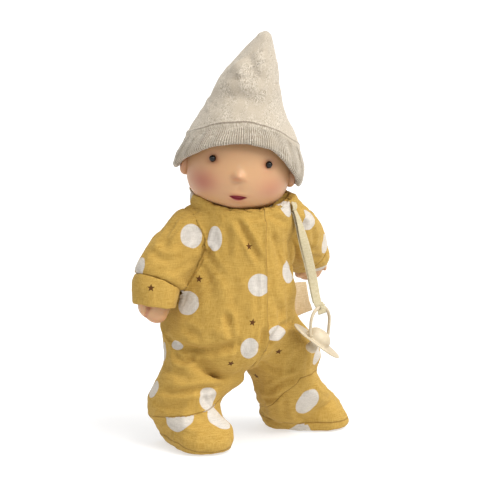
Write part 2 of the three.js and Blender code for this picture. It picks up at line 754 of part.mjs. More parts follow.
// Soother: shield, dome with two dimples, teat plug behind, and the ring with its two pins
const shieldAcross = shieldNormal.clone().cross(shieldLong).normalize();
const soother = new THREE.Group();
soother.position.copy(shieldCentre);
soother.setRotationFromMatrix(new THREE.Matrix4().makeBasis(shieldLong, shieldAcross, shieldNormal));
strap.add(soother);
doll.updateMatrixWorld(true);

const outline = new THREE.Shape();
const outlinePoints = Array.from({ length: shieldCorners }, (unused, corner) => {
  const angle = 2 * Math.PI * corner / shieldCorners;
  const waist = 1 - shieldWaistShare * Math.sin(angle) ** 6;
  return new THREE.Vector2(shieldHalfLength * Math.cos(angle), shieldHalfWidth * waist * Math.sin(angle));
});
outline.setFromPoints(outlinePoints);
const shield = new THREE.ExtrudeGeometry(outline, { depth: shieldThickness, bevelEnabled: false });
shield.translate(0, 0, -shieldThickness);
piece('soother_shield', shield, rubber, soother);

const domeProfile = [[0, gap]];
for (let step = 0; step <= domeRings; step += 1) {
  const angle = Math.PI / 2 * step / domeRings;
  domeProfile.push([domeRadius * Math.cos(angle), gap + domeHeight * Math.sin(angle)]);
}
domeProfile[domeProfile.length - 1][0] = 0;
const pivotLocal = pivotAxis.clone().transformDirection(soother.matrixWorld.clone().invert());
const pivotCentre = new THREE.Vector3(0, 0, gap + pivotHeight);
let dome = solid(turned(domeProfile, 18));
for (const side of [-1, 1]) {
  const tip = pivotCentre.clone().addScaledVector(pivotLocal, side * (ringInnerHalf - pinLength));
  const dimple = new THREE.CylinderGeometry(ringBar + gap, ringBar + gap, overrun, 8);
  dimple.translate(0, overrun / 2 - gap, 0);
  dimple.applyQuaternion(new THREE.Quaternion().setFromUnitVectors(
    new THREE.Vector3(0, 1, 0), pivotLocal.clone().multiplyScalar(side)));
  dimple.translate(tip.x, tip.y, tip.z);
  dome = dome.subtract(solid(dimple));
}
piece('soother_dome', mainBody(surface(dome)), rubber, soother);

const teat = new THREE.CapsuleGeometry(teatRadius, teatLength, 4, 12);
teat.rotateX(Math.PI / 2);
teat.translate(0, 0, -shieldThickness - gap - teatLength / 2);
const underShield = beyond(new THREE.Vector3(0, 0, -shieldThickness - gap), up);
piece('soother_teat', mainBody(surface(solid(teat).subtract(underShield))), rubber, soother);

const ringCentreLine = pivotCentre.clone().applyMatrix4(soother.matrixWorld);
const ringUp = up.clone().addScaledVector(pivotAxis, -up.dot(pivotAxis)).normalize();
const ringSide = pivotAxis.clone().cross(ringUp);
const ringGroup = new THREE.Group();
ringGroup.position.copy(ringCentreLine);
ringGroup.setRotationFromMatrix(new THREE.Matrix4().makeBasis(pivotAxis, ringUp, ringSide));
strap.add(ringGroup);
doll.updateMatrixWorld(true);
const ringHalf = ringInnerHalf + ringBar;
const ringHoop = new THREE.TorusGeometry(ringHalf, ringBar, 8, 20);
const hoopTop = ringHeight - ringHalf;
ringHoop.translate(0, hoopTop - ringBar, 0);
const lowerHalf = new THREE.BoxGeometry(4 * ringHalf, 2 * (hoopTop - ringBar), 4 * ringBar);
let ring = solid(ringHoop).subtract(solid(lowerHalf));
for (const side of [-1, 1]) {
  const leg = new THREE.CapsuleGeometry(ringBar, hoopTop - ringBar, 3, 8);
  leg.translate(side * ringHalf, (hoopTop - ringBar) / 2, 0);
  const pin = new THREE.CapsuleGeometry(ringBar, pinLength, 3, 8);
  pin.rotateZ(Math.PI / 2);
  pin.translate(side * (ringHalf - pinLength / 2), 0, 0);
  ring = ring.add(solid(leg)).add(solid(pin));
}
piece('soother_ring', mainBody(surface(ring)), rubber, ringGroup);

// Ribbon with its sewn loop round the ring and the tack on the shoulder
const ringTop = new THREE.Vector3(0, ringHeight - ringBar, 0);
const loopOuter = ringBar + gap + loopWall;
const loopForm = new THREE.TorusGeometry(ringBar + gap + loopWall / 2, loopWall / 2, 6, 12);
loopForm.scale(1, 1, 2 * ribbonHalfWidth / loopWall);
loopForm.rotateY(Math.PI / 2);
loopForm.translate(ringTop.x, ringTop.y, ringTop.z);
const hoopRoom = new THREE.TorusGeometry(ringHalf, ringBar + gap, 8, 20);
hoopRoom.translate(0, hoopTop - ringBar, 0);
piece('ribbon_loop', mainBody(surface(solid(loopForm).subtract(solid(hoopRoom)))), satin, ringGroup);

const loopCentre = ringTop.clone().applyMatrix4(ringGroup.matrixWorld);
const ribbonForm = {
  spine: [...ribbonRoute, loopCentre],
  widths: [...ribbonRoute, loopCentre].map(() => ribbonHalfWidth),
  depths: [...ribbonRoute, loopCentre].map(() => ribbonHalfThickness),
  facing: front, rounds: [gap, gap], sides: 8, steps: 10, power: 5,
};
const loopRoom = new THREE.CylinderGeometry(loopOuter + gap, loopOuter + gap, 4 * ribbonHalfWidth, 12);
loopRoom.rotateZ(Math.PI / 2);
loopRoom.translate(ringTop.x, ringTop.y, ringTop.z);
loopRoom.applyMatrix4(ringGroup.matrixWorld);
piece('ribbon', mainBody(surface(solid(loft(ribbonForm)).subtract(solid(loopRoom)))), satin, strap);

// The tack is sewn to the collar, square to its face
const tackFace = new THREE.Vector3(Math.cos(tackAngle), collarDepthShare * Math.sin(tackAngle), 0)
  .multiplyScalar(collarRadius);
const tackWay = new THREE.Vector3(Math.cos(tackAngle), Math.sin(tackAngle) / collarDepthShare, 0);
tackWay.normalize();
const tack = new THREE.BoxGeometry(tackWidth, tackThickness, tackHeight);
const tackMesh = piece('ribbon_tack', tack, satin, collarFrame);
tackMesh.position.copy(tackFace).addScaledVector(tackWay, gap + tackThickness / 2);
tackMesh.position.z = collarHeight / 2;
tackMesh.rotation.z = Math.atan2(tackWay.y, tackWay.x) + Math.PI / 2;

// The part's origin is the middle of its footprint on the ground, without the ribbon and soother
const bounds = new THREE.Box3();
for (const group of [body, head]) bounds.union(new THREE.Box3().setFromObject(group));
const middle = bounds.getCenter(new THREE.Vector3());
doll.position.set(-middle.x, -middle.y, -bounds.min.z);
doll.updateMatrixWorld(true);

export default doll;
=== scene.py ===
import bpy
import bmesh
import json
import math
import numpy as np
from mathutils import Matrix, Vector
from mathutils.bvhtree import BVHTree
from mathutils.kdtree import KDTree


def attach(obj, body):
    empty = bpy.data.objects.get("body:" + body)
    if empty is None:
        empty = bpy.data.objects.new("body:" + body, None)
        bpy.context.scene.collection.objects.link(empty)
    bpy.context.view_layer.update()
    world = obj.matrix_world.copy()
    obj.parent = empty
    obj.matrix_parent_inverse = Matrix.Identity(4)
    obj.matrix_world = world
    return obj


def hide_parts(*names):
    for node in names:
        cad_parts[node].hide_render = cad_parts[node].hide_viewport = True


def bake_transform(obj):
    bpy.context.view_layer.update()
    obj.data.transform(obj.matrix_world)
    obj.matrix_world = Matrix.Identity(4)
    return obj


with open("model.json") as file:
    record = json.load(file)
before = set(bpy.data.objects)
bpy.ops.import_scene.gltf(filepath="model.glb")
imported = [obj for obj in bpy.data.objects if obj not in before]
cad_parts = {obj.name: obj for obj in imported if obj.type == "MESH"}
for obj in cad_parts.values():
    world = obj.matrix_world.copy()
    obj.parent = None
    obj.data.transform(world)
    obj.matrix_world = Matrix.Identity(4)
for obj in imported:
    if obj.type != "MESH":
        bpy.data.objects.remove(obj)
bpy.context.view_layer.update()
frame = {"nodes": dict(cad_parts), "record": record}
scene = bpy.context.scene

# Places
# Design points are in millimetres, with the head, body and ribbon frames of the CAD.
joints = {j["name"]: j for j in frame["record"]["behaviour"]["joints"]}
HEAD_AT = np.array(joints["head_turn"]["pos_m"]) * 1000
SHIFT = HEAD_AT - np.array([-1.6, 0, 226])
YAW = math.radians(18)
ROLL = math.radians(7)
BODY_AT = np.array([3, 0, 0]) + SHIFT
BODY_TURN = np.array([[math.cos(YAW), -math.sin(YAW), 0], [math.sin(YAW), math.cos(YAW), 0], [0, 0, 1]])
HEAD_TURN = np.array([[math.cos(ROLL), 0, math.sin(ROLL)], [0, 1, 0], [-math.sin(ROLL), 0, math.cos(ROLL)]])


def from_body(points):
    return (np.asarray(points, float) @ BODY_TURN.T + BODY_AT) / 1000


def to_body(points):
    return (np.asarray(points, float) * 1000 - BODY_AT) @ BODY_TURN


def from_head(points):
    return (np.asarray(points, float) @ HEAD_TURN.T + HEAD_AT) / 1000


def to_head(points):
    return (np.asarray(points, float) * 1000 - HEAD_AT) @ HEAD_TURN


def from_design(points):
    return (np.asarray(points, float) + SHIFT) / 1000


# Camera and light
ELEVATION = math.radians(12)
DISTANCE = 6
FRAME_WIDTH = 0.384
PICTURE = 480
SENSOR = 36
AIM = Vector(from_design([-0.8, 0, 163.6]))
AHEAD = np.array([0, math.cos(ELEVATION), -math.sin(ELEVATION)])
UPWARD = np.array([0, math.sin(ELEVATION), math.cos(ELEVATION)])


def linked(name, data):
    """A new object of the given data, in the scene."""
    made = bpy.data.objects.new(name, data)
    bpy.context.collection.objects.link(made)
    return made


camera = linked("camera", bpy.data.cameras.new("camera"))
camera.location = AIM - Vector(AHEAD) * DISTANCE
camera.rotation_euler = (math.pi / 2 - ELEVATION, 0, 0)
camera.data.sensor_width = SENSOR
camera.data.lens = SENSOR * DISTANCE / FRAME_WIDTH
camera.data.clip_end = 20
bpy.context.scene.camera = camera


def sun(name, toward, softness, strength, colour):
    """A wide soft light that comes from the given direction."""
    data = bpy.data.lights.new(name, "SUN")
    data.angle = math.radians(softness)
    data.energy = strength
    data.color = colour
    linked(name, data).rotation_euler = Vector(toward).to_track_quat("Z", "Y").to_euler()


sun("key", (0.63, -0.44, 0.86), 47, 3.05, (1.0, 0.985, 0.96))
sun("top", (0.0, -0.1, 1.0), 90, 1.9, (1.0, 1.0, 1.0))

# The backdrop shows white, and lights the doll at a lower level
SKY_LIGHT = 0.26
world = bpy.data.worlds.new("studio")
scene.world = world
world.use_nodes = True
backdrop = world.node_tree.nodes["Background"]
backdrop.inputs["Color"].default_value = (1, 1, 1, 1)
rays = world.node_tree.nodes.new("ShaderNodeLightPath")
shown = None
for ray in ("Is Camera Ray", "Is Glossy Ray", "Is Transmission Ray"):
    joined = world.node_tree.nodes.new("ShaderNodeMath")
    joined.operation = "MAXIMUM"
    joined.inputs[1].default_value = SKY_LIGHT
    world.node_tree.links.new(rays.outputs[ray], joined.inputs[0])
    if shown:
        world.node_tree.links.new(shown, joined.inputs[1])
    shown = joined.outputs[0]
world.node_tree.links.new(shown, backdrop.inputs["Strength"])

scene.view_settings.view_transform = "Standard"
scene.view_settings.look = "None"
scene.view_settings.exposure = 0
scene.view_settings.gamma = 1


# Small tools
def linear(red, green, blue):
    """A picture colour of 0 to 255 as the linear colour that a shader takes."""
    out = []
    for value in (red, green, blue):
        share = value / 255
        out.append(share / 12.92 if share <= 0.04045 else ((share + 0.055) / 1.055) ** 2.4)
    return (*out, 1)


def new_object(name, points, faces):
    mesh = bpy.data.meshes.new(name)
    mesh.from_pydata([tuple(p) for p in points], [], [tuple(int(i) for i in f) for f in faces])
    mesh.validate()
    return linked(name, smooth_shaded(mesh))


def smooth_shaded(mesh):
    mesh.polygons.foreach_set("use_smooth", [True] * len(mesh.polygons))
    return mesh


def gathered(data, name):
    flat = np.empty(len(data) * 3, np.float32)
    data.foreach_get(name, flat)
    return flat.reshape(-1, 3).astype(float)


def coords(made):
    return gathered(made.data.vertices, "co")


def normals(made):
    return gathered(made.data.vertex_normals, "vector")


def set_coords(made, points):
    made.data.vertices.foreach_set("co", np.asarray(points, np.float32).ravel())
    made.data.update()


def swell(made, amount):
    """Moves each point out along its normal, by metres."""
    set_coords(made, coords(made) + normals(made) * np.asarray(amount)[..., None])


def modified(made, kind, **values):
    """Applies one modifier to the object's own mesh."""
    step = made.modifiers.new(kind.lower(), kind)
    for key, value in values.items():
        setattr(step, key, value)
    graph = bpy.context.evaluated_depsgraph_get()
    finished = bpy.data.meshes.new_from_object(made.evaluated_get(graph))
    made.modifiers.clear()
    old = made.data
    made.data = smooth_shaded(finished)
    if old.users == 0:
        bpy.data.meshes.remove(old)


def edited(mesh, change):
    """Puts a mesh under edit for a change."""
    shape = bmesh.new()
    shape.from_mesh(mesh)
    change(shape)
    shape.to_mesh(mesh)
    shape.free()
    mesh.update()


def add_balls(mesh, balls, place, segments=(24, 16)):
    """Adds ellipsoids, each a middle and three radii; place gives their points in the body frame."""
    def change(shape):
        for middle, half in balls:
            ball = bmesh.ops.create_uvsphere(shape, u_segments=segments[0], v_segments=segments[1], radius=1)
            for spot in ball["verts"]:
                spot.co = Vector(from_body(place(np.array(spot.co) * half + middle)))

    edited(mesh, change)


def outward_faces(made):
    edited(made.data, lambda shape: bmesh.ops.recalc_face_normals(shape, faces=shape.faces))


def joined_nodes(name, *nodes):
    """A copy of several CAD nodes in one mesh."""
    shape = bmesh.new()
    for node in nodes:
        shape.from_mesh(frame["nodes"][node].data)
    mesh = bpy.data.meshes.new(name)
    shape.to_mesh(mesh)
    shape.free()
    return linked(name, mesh)


def set_attribute(made, name, values):
    values = np.asarray(values, np.float32)
    kind = "FLOAT" if values.ndim == 1 else "FLOAT_VECTOR"
    attribute = made.data.attributes.get(name) or made.data.attributes.new(name, kind, "POINT")
    attribute.data.foreach_set("value" if values.ndim == 1 else "vector", values.ravel())


def waves(points, length, seed):
    """Smooth noise of about the given wavelength, from -1 to 1, at points in the same unit."""
    chance = np.random.default_rng(seed)
    total = np.zeros(len(points))
    count = 14
    for _ in range(count):
        way = chance.normal(size=3)
        way /= np.linalg.norm(way)
        pitch = 2 * math.pi / (length * chance.uniform(0.7, 1.5))
        total += np.cos(points @ way * pitch + chance.uniform(0, 2 * math.pi))
    return total / math.sqrt(count) / 1.4


def rippled(made, *ripples):
    """Uneven cloth: each ripple is a height, a wavelength and a seed."""
    spots = coords(made)
    swell(made, sum(height * waves(spots, length, seed) for height, length, seed in ripples))


def smoothstep(low, high, value):
    share = np.clip((value - low) / (high - low), 0, 1)
    return share * share * (3 - 2 * share)


def unit(vectors):
    return vectors / np.linalg.norm(vectors, axis=-1, keepdims=True)


def bulged(value, power):
    return math.copysign(abs(value) ** power, value)


def turns(count):
    return 2 * math.pi * np.arange(count) / count


def tilts(count, share):
    """Angles from pole to pole."""
    return math.pi * (np.arange(count) / (count - 1) - 0.5) * share


def lathe(profile, sides):
    """The points of a profile of radii and heights turned about an axis."""
    return [(radius * math.cos(turn), radius * math.sin(turn), high)
            for radius, high in profile for turn in turns(sides)]


def curve_points(points, count):
    """A smooth curve through points, at evenly spread places."""
    points = np.asarray(points, float)
    padded = np.vstack([2 * points[0] - points[1], points, 2 * points[-1] - points[-2]])
    fine = []
    for i in range(len(points) - 1):
        a, b, c, d = padded[i:i + 4]
        for t in np.linspace(0, 1, 24, endpoint=False):
            fine.append(0.5 * (2 * b + (c - a) * t + (2 * a - 5 * b + 4 * c - d) * t * t
                               + (3 * b - a - 3 * c + d) * t ** 3))
    fine.append(points[-1])
    fine = np.array(fine)
    run = np.concatenate([[0], np.cumsum(np.linalg.norm(np.diff(fine, axis=0), axis=1))])
    even = np.linspace(0, run[-1], count)
    return np.stack([np.interp(even, run, fine[:, k]) for k in range(fine.shape[1])], axis=1)


def grid_faces(rows, columns, closed=False, ends=False):
    """Faces of rings of points; the rings may close into a loop or have flat ends."""
    faces = []
    for r in range(rows if closed else rows - 1):
        below = (r + 1) % rows * columns
        for c in range(columns):
            after = (c + 1) % columns
            faces.append((r * columns + c, r * columns + after, below + after, below + c))
    if ends:
        faces += [tuple(range(columns))[::-1], tuple(range((rows - 1) * columns, rows * columns))]
    return faces


def at_shares(line, shares):
    """Points at shares of an evenly spaced line."""
    place = np.asarray(shares, float) * (len(line) - 1)
    return np.stack([np.interp(place, np.arange(len(line)), line[:, k]) for k in range(3)], axis=1)


def screen(points):
    """Where points of the row frame show in the photograph, in its pixels."""
    points = np.asarray(points, float) - np.array(camera.location)
    scale = PICTURE * DISTANCE / FRAME_WIDTH / (points @ AHEAD)
    return np.stack([PICTURE / 2 + points[:, 0] * scale, PICTURE / 2 - points @ UPWARD * scale], axis=1)


def ray_of(px, py):
    reach = FRAME_WIDTH / DISTANCE / PICTURE
    aside, rise = (px - PICTURE / 2) * reach, (PICTURE / 2 - py) * reach
    return (Vector(AHEAD) + Vector((1, 0, 0)) * aside + Vector(UPWARD) * rise).normalized()


def cast(tree, px, py):
    """Where the ray of a pixel meets a surface."""
    return tree.ray_cast(camera.location, ray_of(px, py))[0]


def surface_tree(made):
    return BVHTree.FromObject(made, bpy.context.evaluated_depsgraph_get())


# Shader tools
class Shader:
    def __init__(self, name):
        self.material = bpy.data.materials.new(name)
        self.material.use_nodes = True
        self.tree = self.material.node_tree
        self.bsdf = self.tree.nodes["Principled BSDF"]

    def put(self, socket, value):
        if isinstance(value, (int, float, tuple)):
            socket.default_value = value
        else:
            self.tree.links.new(value, socket)

    def node(self, kind, sockets, **values):
        made = self.tree.nodes.new(kind)
        for key, value in values.items():
            setattr(made, key, value)
        for place, value in sockets.items():
            self.put(made.inputs[place], value)
        return made.outputs

    def attribute(self, name, output="Fac"):
        return self.node("ShaderNodeAttribute", {}, attribute_name=name)[output]

    def own_place(self):
        return self.node("ShaderNodeTexCoord", {})["Object"]

    def parts(self, name):
        """The three numbers of a vector attribute."""
        return self.node("ShaderNodeSeparateXYZ", {0: self.attribute(name, "Vector")})

    def math(self, operation, *values, clamp=False):
        return self.node("ShaderNodeMath", dict(enumerate(values)), operation=operation, use_clamp=clamp)[0]

    def times(self, a, b, clamp=False):
        return self.math("MULTIPLY", a, b, clamp=clamp)

    def add(self, a, b):
        return self.math("ADD", a, b)

    def span(self, parts):
        """Distance from the centre in the plane of the first two numbers."""
        return self.math("SQRT", self.add(self.math("POWER", parts[0], 2.0), self.math("POWER", parts[1], 2.0)))

    def mix(self, share, a, b):
        return self.node("ShaderNodeMix", {0: share, 6: a, 7: b}, data_type="RGBA")[2]

    def scaled(self, vector, scale):
        return self.node("ShaderNodeMapping", {"Scale": scale, "Vector": vector})[0]

    def noise(self, vector, scale, detail=2, roughness=0.5, stretch=None):
        if stretch:
            vector = self.scaled(vector, stretch)
        return self.node("ShaderNodeTexNoise", {"Scale": scale, "Detail": detail, "Roughness": roughness,
                                                "Vector": vector})[0]

    def ramp(self, value, low, high):
        return self.node("ShaderNodeMapRange", {"From Min": low, "From Max": high, "Value": value},
                         interpolation_type="SMOOTHSTEP")[0]

    def bump(self, height, strength, distance):
        return self.node("ShaderNodeBump", {"Strength": strength, "Distance": distance, "Height": height})[0]

    def set(self, **values):
        for key, value in values.items():
            self.put(self.bsdf.inputs[key.replace("_", " ")], value)


def give(material, *pieces):
    for made in pieces:
        made.data.materials.clear()
        made.data.materials.append(material)


# Ribbon and soother
# The route repeats the CAD's; the ribbon runs from its stitched end to the loop round the ring.
SHIELD_AT = np.array([59.7, -24.6, 88])
SHIELD_NORMAL = unit([0.58, -0.35, 0.74])
SHIELD_LONG = unit([0.787, 0, -0.617])
PIVOT_AXIS = unit([0.627, 0.768, -0.127])
PIVOT_LIFT = 4.55
PIVOT_AT = SHIELD_AT + SHIELD_NORMAL * PIVOT_LIFT
RING_UP = unit(np.array([0, 0, 1]) - PIVOT_AXIS * PIVOT_AXIS[2])
RING_TOP = PIVOT_AT + RING_UP * 22.75
ROUTE = np.array([[43, -15.2, 191], [46, -15.6, 183], [51, -17.5, 164.3], [56, -21.5, 143.7],
                  [60.8, -26.6, 119], RING_TOP])
HALF_WIDTH = 3.5


def strip(name, path, wide, half_width, half_thick, sides=12, power=4):
    """A flat band along a path: wide gives its width direction at each point."""
    path, wide = np.asarray(path, float), np.asarray(wide, float)
    tangent = unit(np.gradient(path, axis=0))
    wide = unit(wide - tangent * np.sum(wide * tangent, axis=1)[:, None])
    deep = np.cross(tangent, wide)
    half_width = np.broadcast_to(half_width, len(path))
    half_thick = np.broadcast_to(half_thick, len(path))
    points = []
    for i in range(len(path)):
        for turn in turns(sides):
            out = bulged(math.cos(turn), 2 / power) * half_width[i]
            rise = bulged(math.sin(turn), 2 / power) * half_thick[i]
            points.append(path[i] + wide[i] * out + deep[i] * rise)
    return new_object(name, from_design(points), grid_faces(len(path), sides, ends=True))


def ribbon_parts():
    lay = [[-0.6, -1.9, 1.5], [0.1, -2.2, -2], [0.6, -1.9, -5]]
    path = curve_points([*ROUTE[:-1], *(RING_TOP + np.array(lay))], 64)
    share = np.linspace(0, 1, len(path))
    # The band turns from lying on the shoulder to facing the camera, and once more at the ring
    turned, facing, end = np.array([[0.35, 0.9, 0.1], [1.0, 0.12, 0.15], [0.85, 0.45, 0.1]])
    twist = smoothstep(0, 0.45, share)[:, None]
    turn = smoothstep(0.4, 1, share)[:, None]
    wide = (turned * (1 - twist) + facing * twist) * (1 - turn) + end * turn
    narrow = 0.7 + 0.3 * smoothstep(0, 0.12, share)
    ribbon = strip("ribbon_band", path, wide, HALF_WIDTH * narrow, 0.42)
    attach(ribbon, "strap")
    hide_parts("ribbon")
    run = float(np.sum(np.linalg.norm(np.diff(path, axis=0), axis=1)) / 1000)
    inner = slice(1, -8)
    behind = (path + np.array([-2.6, 1.9, 0.0]) * (1 - 0.55 * share)[:, None])[inner]
    second = strip("ribbon_second_strand", behind, wide[inner] + np.array([0, 0.35, 0]), 3.2 * narrow[inner], 0.4)
    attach(second, "strap")
    side = np.cross(PIVOT_AXIS, RING_UP)
    bight = [RING_TOP + 2.2 * (math.cos(a) * side + math.sin(a) * RING_UP)
             for a in np.linspace(0.35 * math.pi, 2.15 * math.pi, 40)]
    loop = strip("ribbon_bight", bight, np.tile(PIVOT_AXIS, (len(bight), 1)), HALF_WIDTH, 0.42)
    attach(loop, "strap")
    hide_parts("ribbon_loop")
    return ribbon, second, loop, path, run


def soother_parts():
    # The plate hangs a little steeper than its hinge is drawn, so the camera sees it almost from its edge
    normal = unit(SHIELD_NORMAL + np.array([0.02, 0.36, 0.06]))
    long_way = unit(SHIELD_LONG - normal * (SHIELD_LONG @ normal))
    across = np.cross(normal, long_way)
    foot = PIVOT_AT - normal * PIVOT_LIFT + np.array([1.2, 0, -0.4])

    def placed(name, spots, sides):
        points = [foot + long_way * long + across * wide + normal * high for long, wide, high in spots]
        return new_object(name, from_design(points), grid_faces(len(points) // sides, sides))

    # Shield: a thin oval plate, waisted a little and cupped away from the dome
    profile = [(share, 0.0) for share in np.linspace(0, 0.94, 16)]
    profile += [(0.975, -0.12), (0.995, -0.4), (1.0, -0.7), (0.995, -1.0), (0.975, -1.28)]
    profile += [(share, -1.4) for share in np.linspace(0.94, 0, 16)]
    spots = [(22.5 * math.cos(turn) * max(share, 0.002),
              18.5 * (1 - 0.14 * math.sin(turn) ** 6) * math.sin(turn) * max(share, 0.002), high)
             for share, high in profile for turn in turns(96)]
    shield = placed("soother_plate", spots, 96)
    # Dome with a soft shoulder
    profile = [(11.6, 0.05), (11.2, 0.15), (10.8, 0.45)]
    profile += [(10.5 * math.cos(tilt) ** 0.8, 0.35 + 9 * math.sin(tilt) ** 0.9)
                for tilt in np.linspace(0, math.pi / 2, 22)[1:]]
    dome = placed("soother_knob", lathe(profile, 64), 64)
    # Teat behind the plate
    profile = [(5.2, -1.45), (4.4, -2.6), (4.1, -4.2), (4.5, -6), (4.9, -7.4), (4.6, -9), (3.6, -10.4),
               (2, -11.2), (0.05, -11.5)]
    teat = placed("soother_nipple", lathe(curve_points(profile, 30), 40), 40)
    # Ring: a D-shaped hoop with pins into the dome
    half, rod = 11.85, 1.25
    flat = [(half * math.cos(turn), 24 - half - rod + half * math.sin(turn)) for turn in np.linspace(0, math.pi, 30)]
    pin = [(half - 3.4, 0), (half - 0.9, 0), (half - 0.15, 0.8)]
    flat = pin + flat + [(-u, v) for u, v in pin[::-1]]
    path = curve_points([PIVOT_AT + PIVOT_AXIS * u + RING_UP * v for u, v in flat], 110)
    side = np.tile(np.cross(PIVOT_AXIS, RING_UP), (110, 1))
    thick = rod + 0.5 * np.exp(-((np.linspace(0, 1, 110) - 0.5) / 0.16) ** 2)
    ring = strip("soother_hoop", path, side, rod, thick * 0.95, sides=14, power=2)
    for made, body, node in ((shield, "soother", "soother_shield"), (dome, "soother", "soother_dome"),
                             (teat, "soother", "soother_teat"), (ring, "strap", "soother_ring")):
        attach(made, body)
        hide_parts(node)
    return shield, dome, teat, ring


ribbon, second_strand, loop, ribbon_path, ribbon_length = ribbon_parts()
shield, dome, teat, hoop = soother_parts()


# Head
HEAD_RADIUS = 41.5
EYES = ((-22.1, 8.3), (23.0, 8.6))
MOUTH = (1.4, -19.6)
# Hills and hollows of the face: height, place across and up, breadth and rise, in millimetres
RELIEF = (
    # Cheeks, brow, chin and the hollow between nose and cheeks
    (1.3, -23, -12, 13, 11), (1.3, 23, -12, 13, 11), (1.2, -27, -22, 10, 8), (0.8, 0, 22, 26, 9),
    (-1.0, 0, 9, 24, 7), (1.5, -0.8, -29, 9, 5), (-0.7, 1.4, -25, 8, 2.6),
    # Lips round the opening, and the dip above it
    (0.9, 1.4, -16.5, 6.5, 1.7), (0.9, 1.4, -22.8, 6, 1.9), (-0.5, 1.4, -11.6, 2.6, 4),
    # Nose: a small round button, fuller at its underside
    (4.6, 0.4, -2.0, 4.2, 3.1), (0.4, 0, 2.4, 3.4, 4), (0.7, -3.4, -3.4, 2, 1.6), (0.7, 4.2, -3.4, 2, 1.6),
    (-0.6, 0, -7.2, 5.5, 1.5),
    # Sockets
    *((-1.5, x, z, 4.4, 4.2) for x, z in EYES), *((0.35, x, z - 5.2, 4.2, 2.2) for x, z in EYES),
)
# Cheek, nose and chin tints: the extra strength on the cheek on the figure's right and the tint under the nose are
# painted shade
BLUSH_AND_SHADE = ((1.0, -27, -11, 11.5, 9.5), (0.62, 27, -11, 11, 9), (0.5, -0.6, -4.2, 4.5, 3), (0.25, 0, -29, 10, 5))
RIMS = tuple((0.8, x, z, 4.6, 4.4) for x, z in EYES)
LIPS = ((0.7, 1.4, -18, 7, 1.8), (0.6, 1.4, -22, 6.5, 2.2))


def head_form(z):
    """Power and height of the head's rounding below and above its middle."""
    return (2.9, 34) if z < 0 else (2.1, 44)


def head_level(z):
    power, height = head_form(z)
    return HEAD_RADIUS * max(1 - abs(z / height) ** power, 0) ** (1 / power)


def hills(x, z, table):
    return sum(high * np.exp(-((x - at_x) / wide) ** 2 - ((z - at_z) / tall) ** 2)
               for high, at_x, at_z, wide, tall in table)


def painted(made, place, **values):
    """The attributes that the skin's shader reads; what isn't given is zero."""
    set_attribute(made, "place", place)
    for name in ("blush", "rims", "mouth"):
        set_attribute(made, name, np.broadcast_to(values.get(name, 0.0), len(place)))


def head_parts():
    rows, columns = 240, 400
    points = []
    for tilt in tilts(rows, 0.9995):
        power, height = head_form(tilt)
        out = HEAD_RADIUS * math.cos(tilt) ** (2 / power)
        rise = height * bulged(math.sin(tilt), 2 / power)
        points += [(out * math.sin(turn), -out * math.cos(turn), rise) for turn in turns(columns)]
    points = np.array(points)
    x, y, z = points.T
    fore = smoothstep(4, -14, y)
    outward = unit(points * (1, 1, 0.6))
    # Mouth: an open lens with raised corners, dark red inside
    lens_x = (x - MOUTH[0]) / 7.4
    upper = 1.45 * (1 - lens_x ** 2) + 0.25 * lens_x
    lower = 2.6 * (1 - np.abs(lens_x) ** 2.2)
    height = z - MOUTH[1] - 0.35 * lens_x ** 2
    inside = np.where(np.abs(lens_x) < 1, np.minimum(upper - height, height + lower), -1)
    out = hills(x, z, RELIEF) - 2.1 * smoothstep(-0.5, 1.3, inside)
    points = points + outward * (out * fore)[:, None]
    head = new_object("head_shell", from_head(points), [face[::-1] for face in grid_faces(rows, columns)])
    # Painted colour: blush, lips and the pink round the eyes; the stronger blush on the cheek on the figure's right
    # and the tint under the nose are painted shade
    painted(head, points, blush=hills(x, z, BLUSH_AND_SHADE) * fore, mouth=smoothstep(-0.25, 0.45, inside) * fore,
            rims=np.maximum(hills(x, z, RIMS), hills(x, z, LIPS)) * fore)
    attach(head, "head")
    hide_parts("head")
    # Ears, tucked under the brim: a rounded shell with a hollow
    ears = []
    rows, columns = 60, 80
    ball = np.array(lathe([(math.cos(tilt), math.sin(tilt)) for tilt in tilts(rows, 0.998)], columns))
    for side, name in ((-1, "right_ear"), (1, "left_ear")):
        away = ball[:, 0] * side
        hollow = np.exp(-((away - 0.75) / 0.5) ** 2 - ((ball[:, 2] - 0.05) / 0.5) ** 2
                        - ((ball[:, 1] + 0.15) / 0.5) ** 2)
        shape = ball * np.array([5.5, 7.0, 9.2])
        shape[:, 0] -= side * hollow * 3.0
        shape[:, 1] -= 1.5 * smoothstep(0.2, 1, away)
        shape[:, 2] -= 0.8 * smoothstep(-0.2, -1, ball[:, 2]) * (1 - away)
        shape += np.array([side * (HEAD_RADIUS + 1.0), 0, -4.0])
        ear = new_object(name, from_head(shape), grid_faces(rows, columns))
        # Painted shade: the hollow of the ear gets extra blush and rim tint, which darkens it; the even 0.25 blush is
        # the ear's own tint
        painted(ear, shape, blush=0.25 + 0.6 * hollow, rims=0.35 * hollow)
        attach(ear, "head")
        ears.append(ear)
    # Neck plug under the chin, mostly inside the collar
    plug = lathe(((0.1, -40), (14, -40), (17, -39.4), (18, -37), (18.2, -30), (19, -26)), 80)
    neck = new_object("neck", from_head(plug), grid_faces(6, 80))
    painted(neck, plug)
    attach(neck, "head")
    # Bead eyes
    eyes = []
    for (eye_x, eye_z), name, node in zip(EYES, ("right_bead_eye", "left_bead_eye"), ("right_eye", "left_eye")):
        mesh = bpy.data.meshes.new(name)
        edited(mesh, lambda bead: bmesh.ops.create_uvsphere(bead, u_segments=48, v_segments=32, radius=0.00275))
        eye = linked(name, smooth_shaded(mesh))
        depth = 0.9 - math.sqrt(max(head_level(eye_z) ** 2 - eye_x * eye_x, 0))
        eye.location = from_head([eye_x, depth, eye_z])
        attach(eye, "head")
        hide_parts(node)
        eyes.append(eye)
    return head, ears, neck, eyes


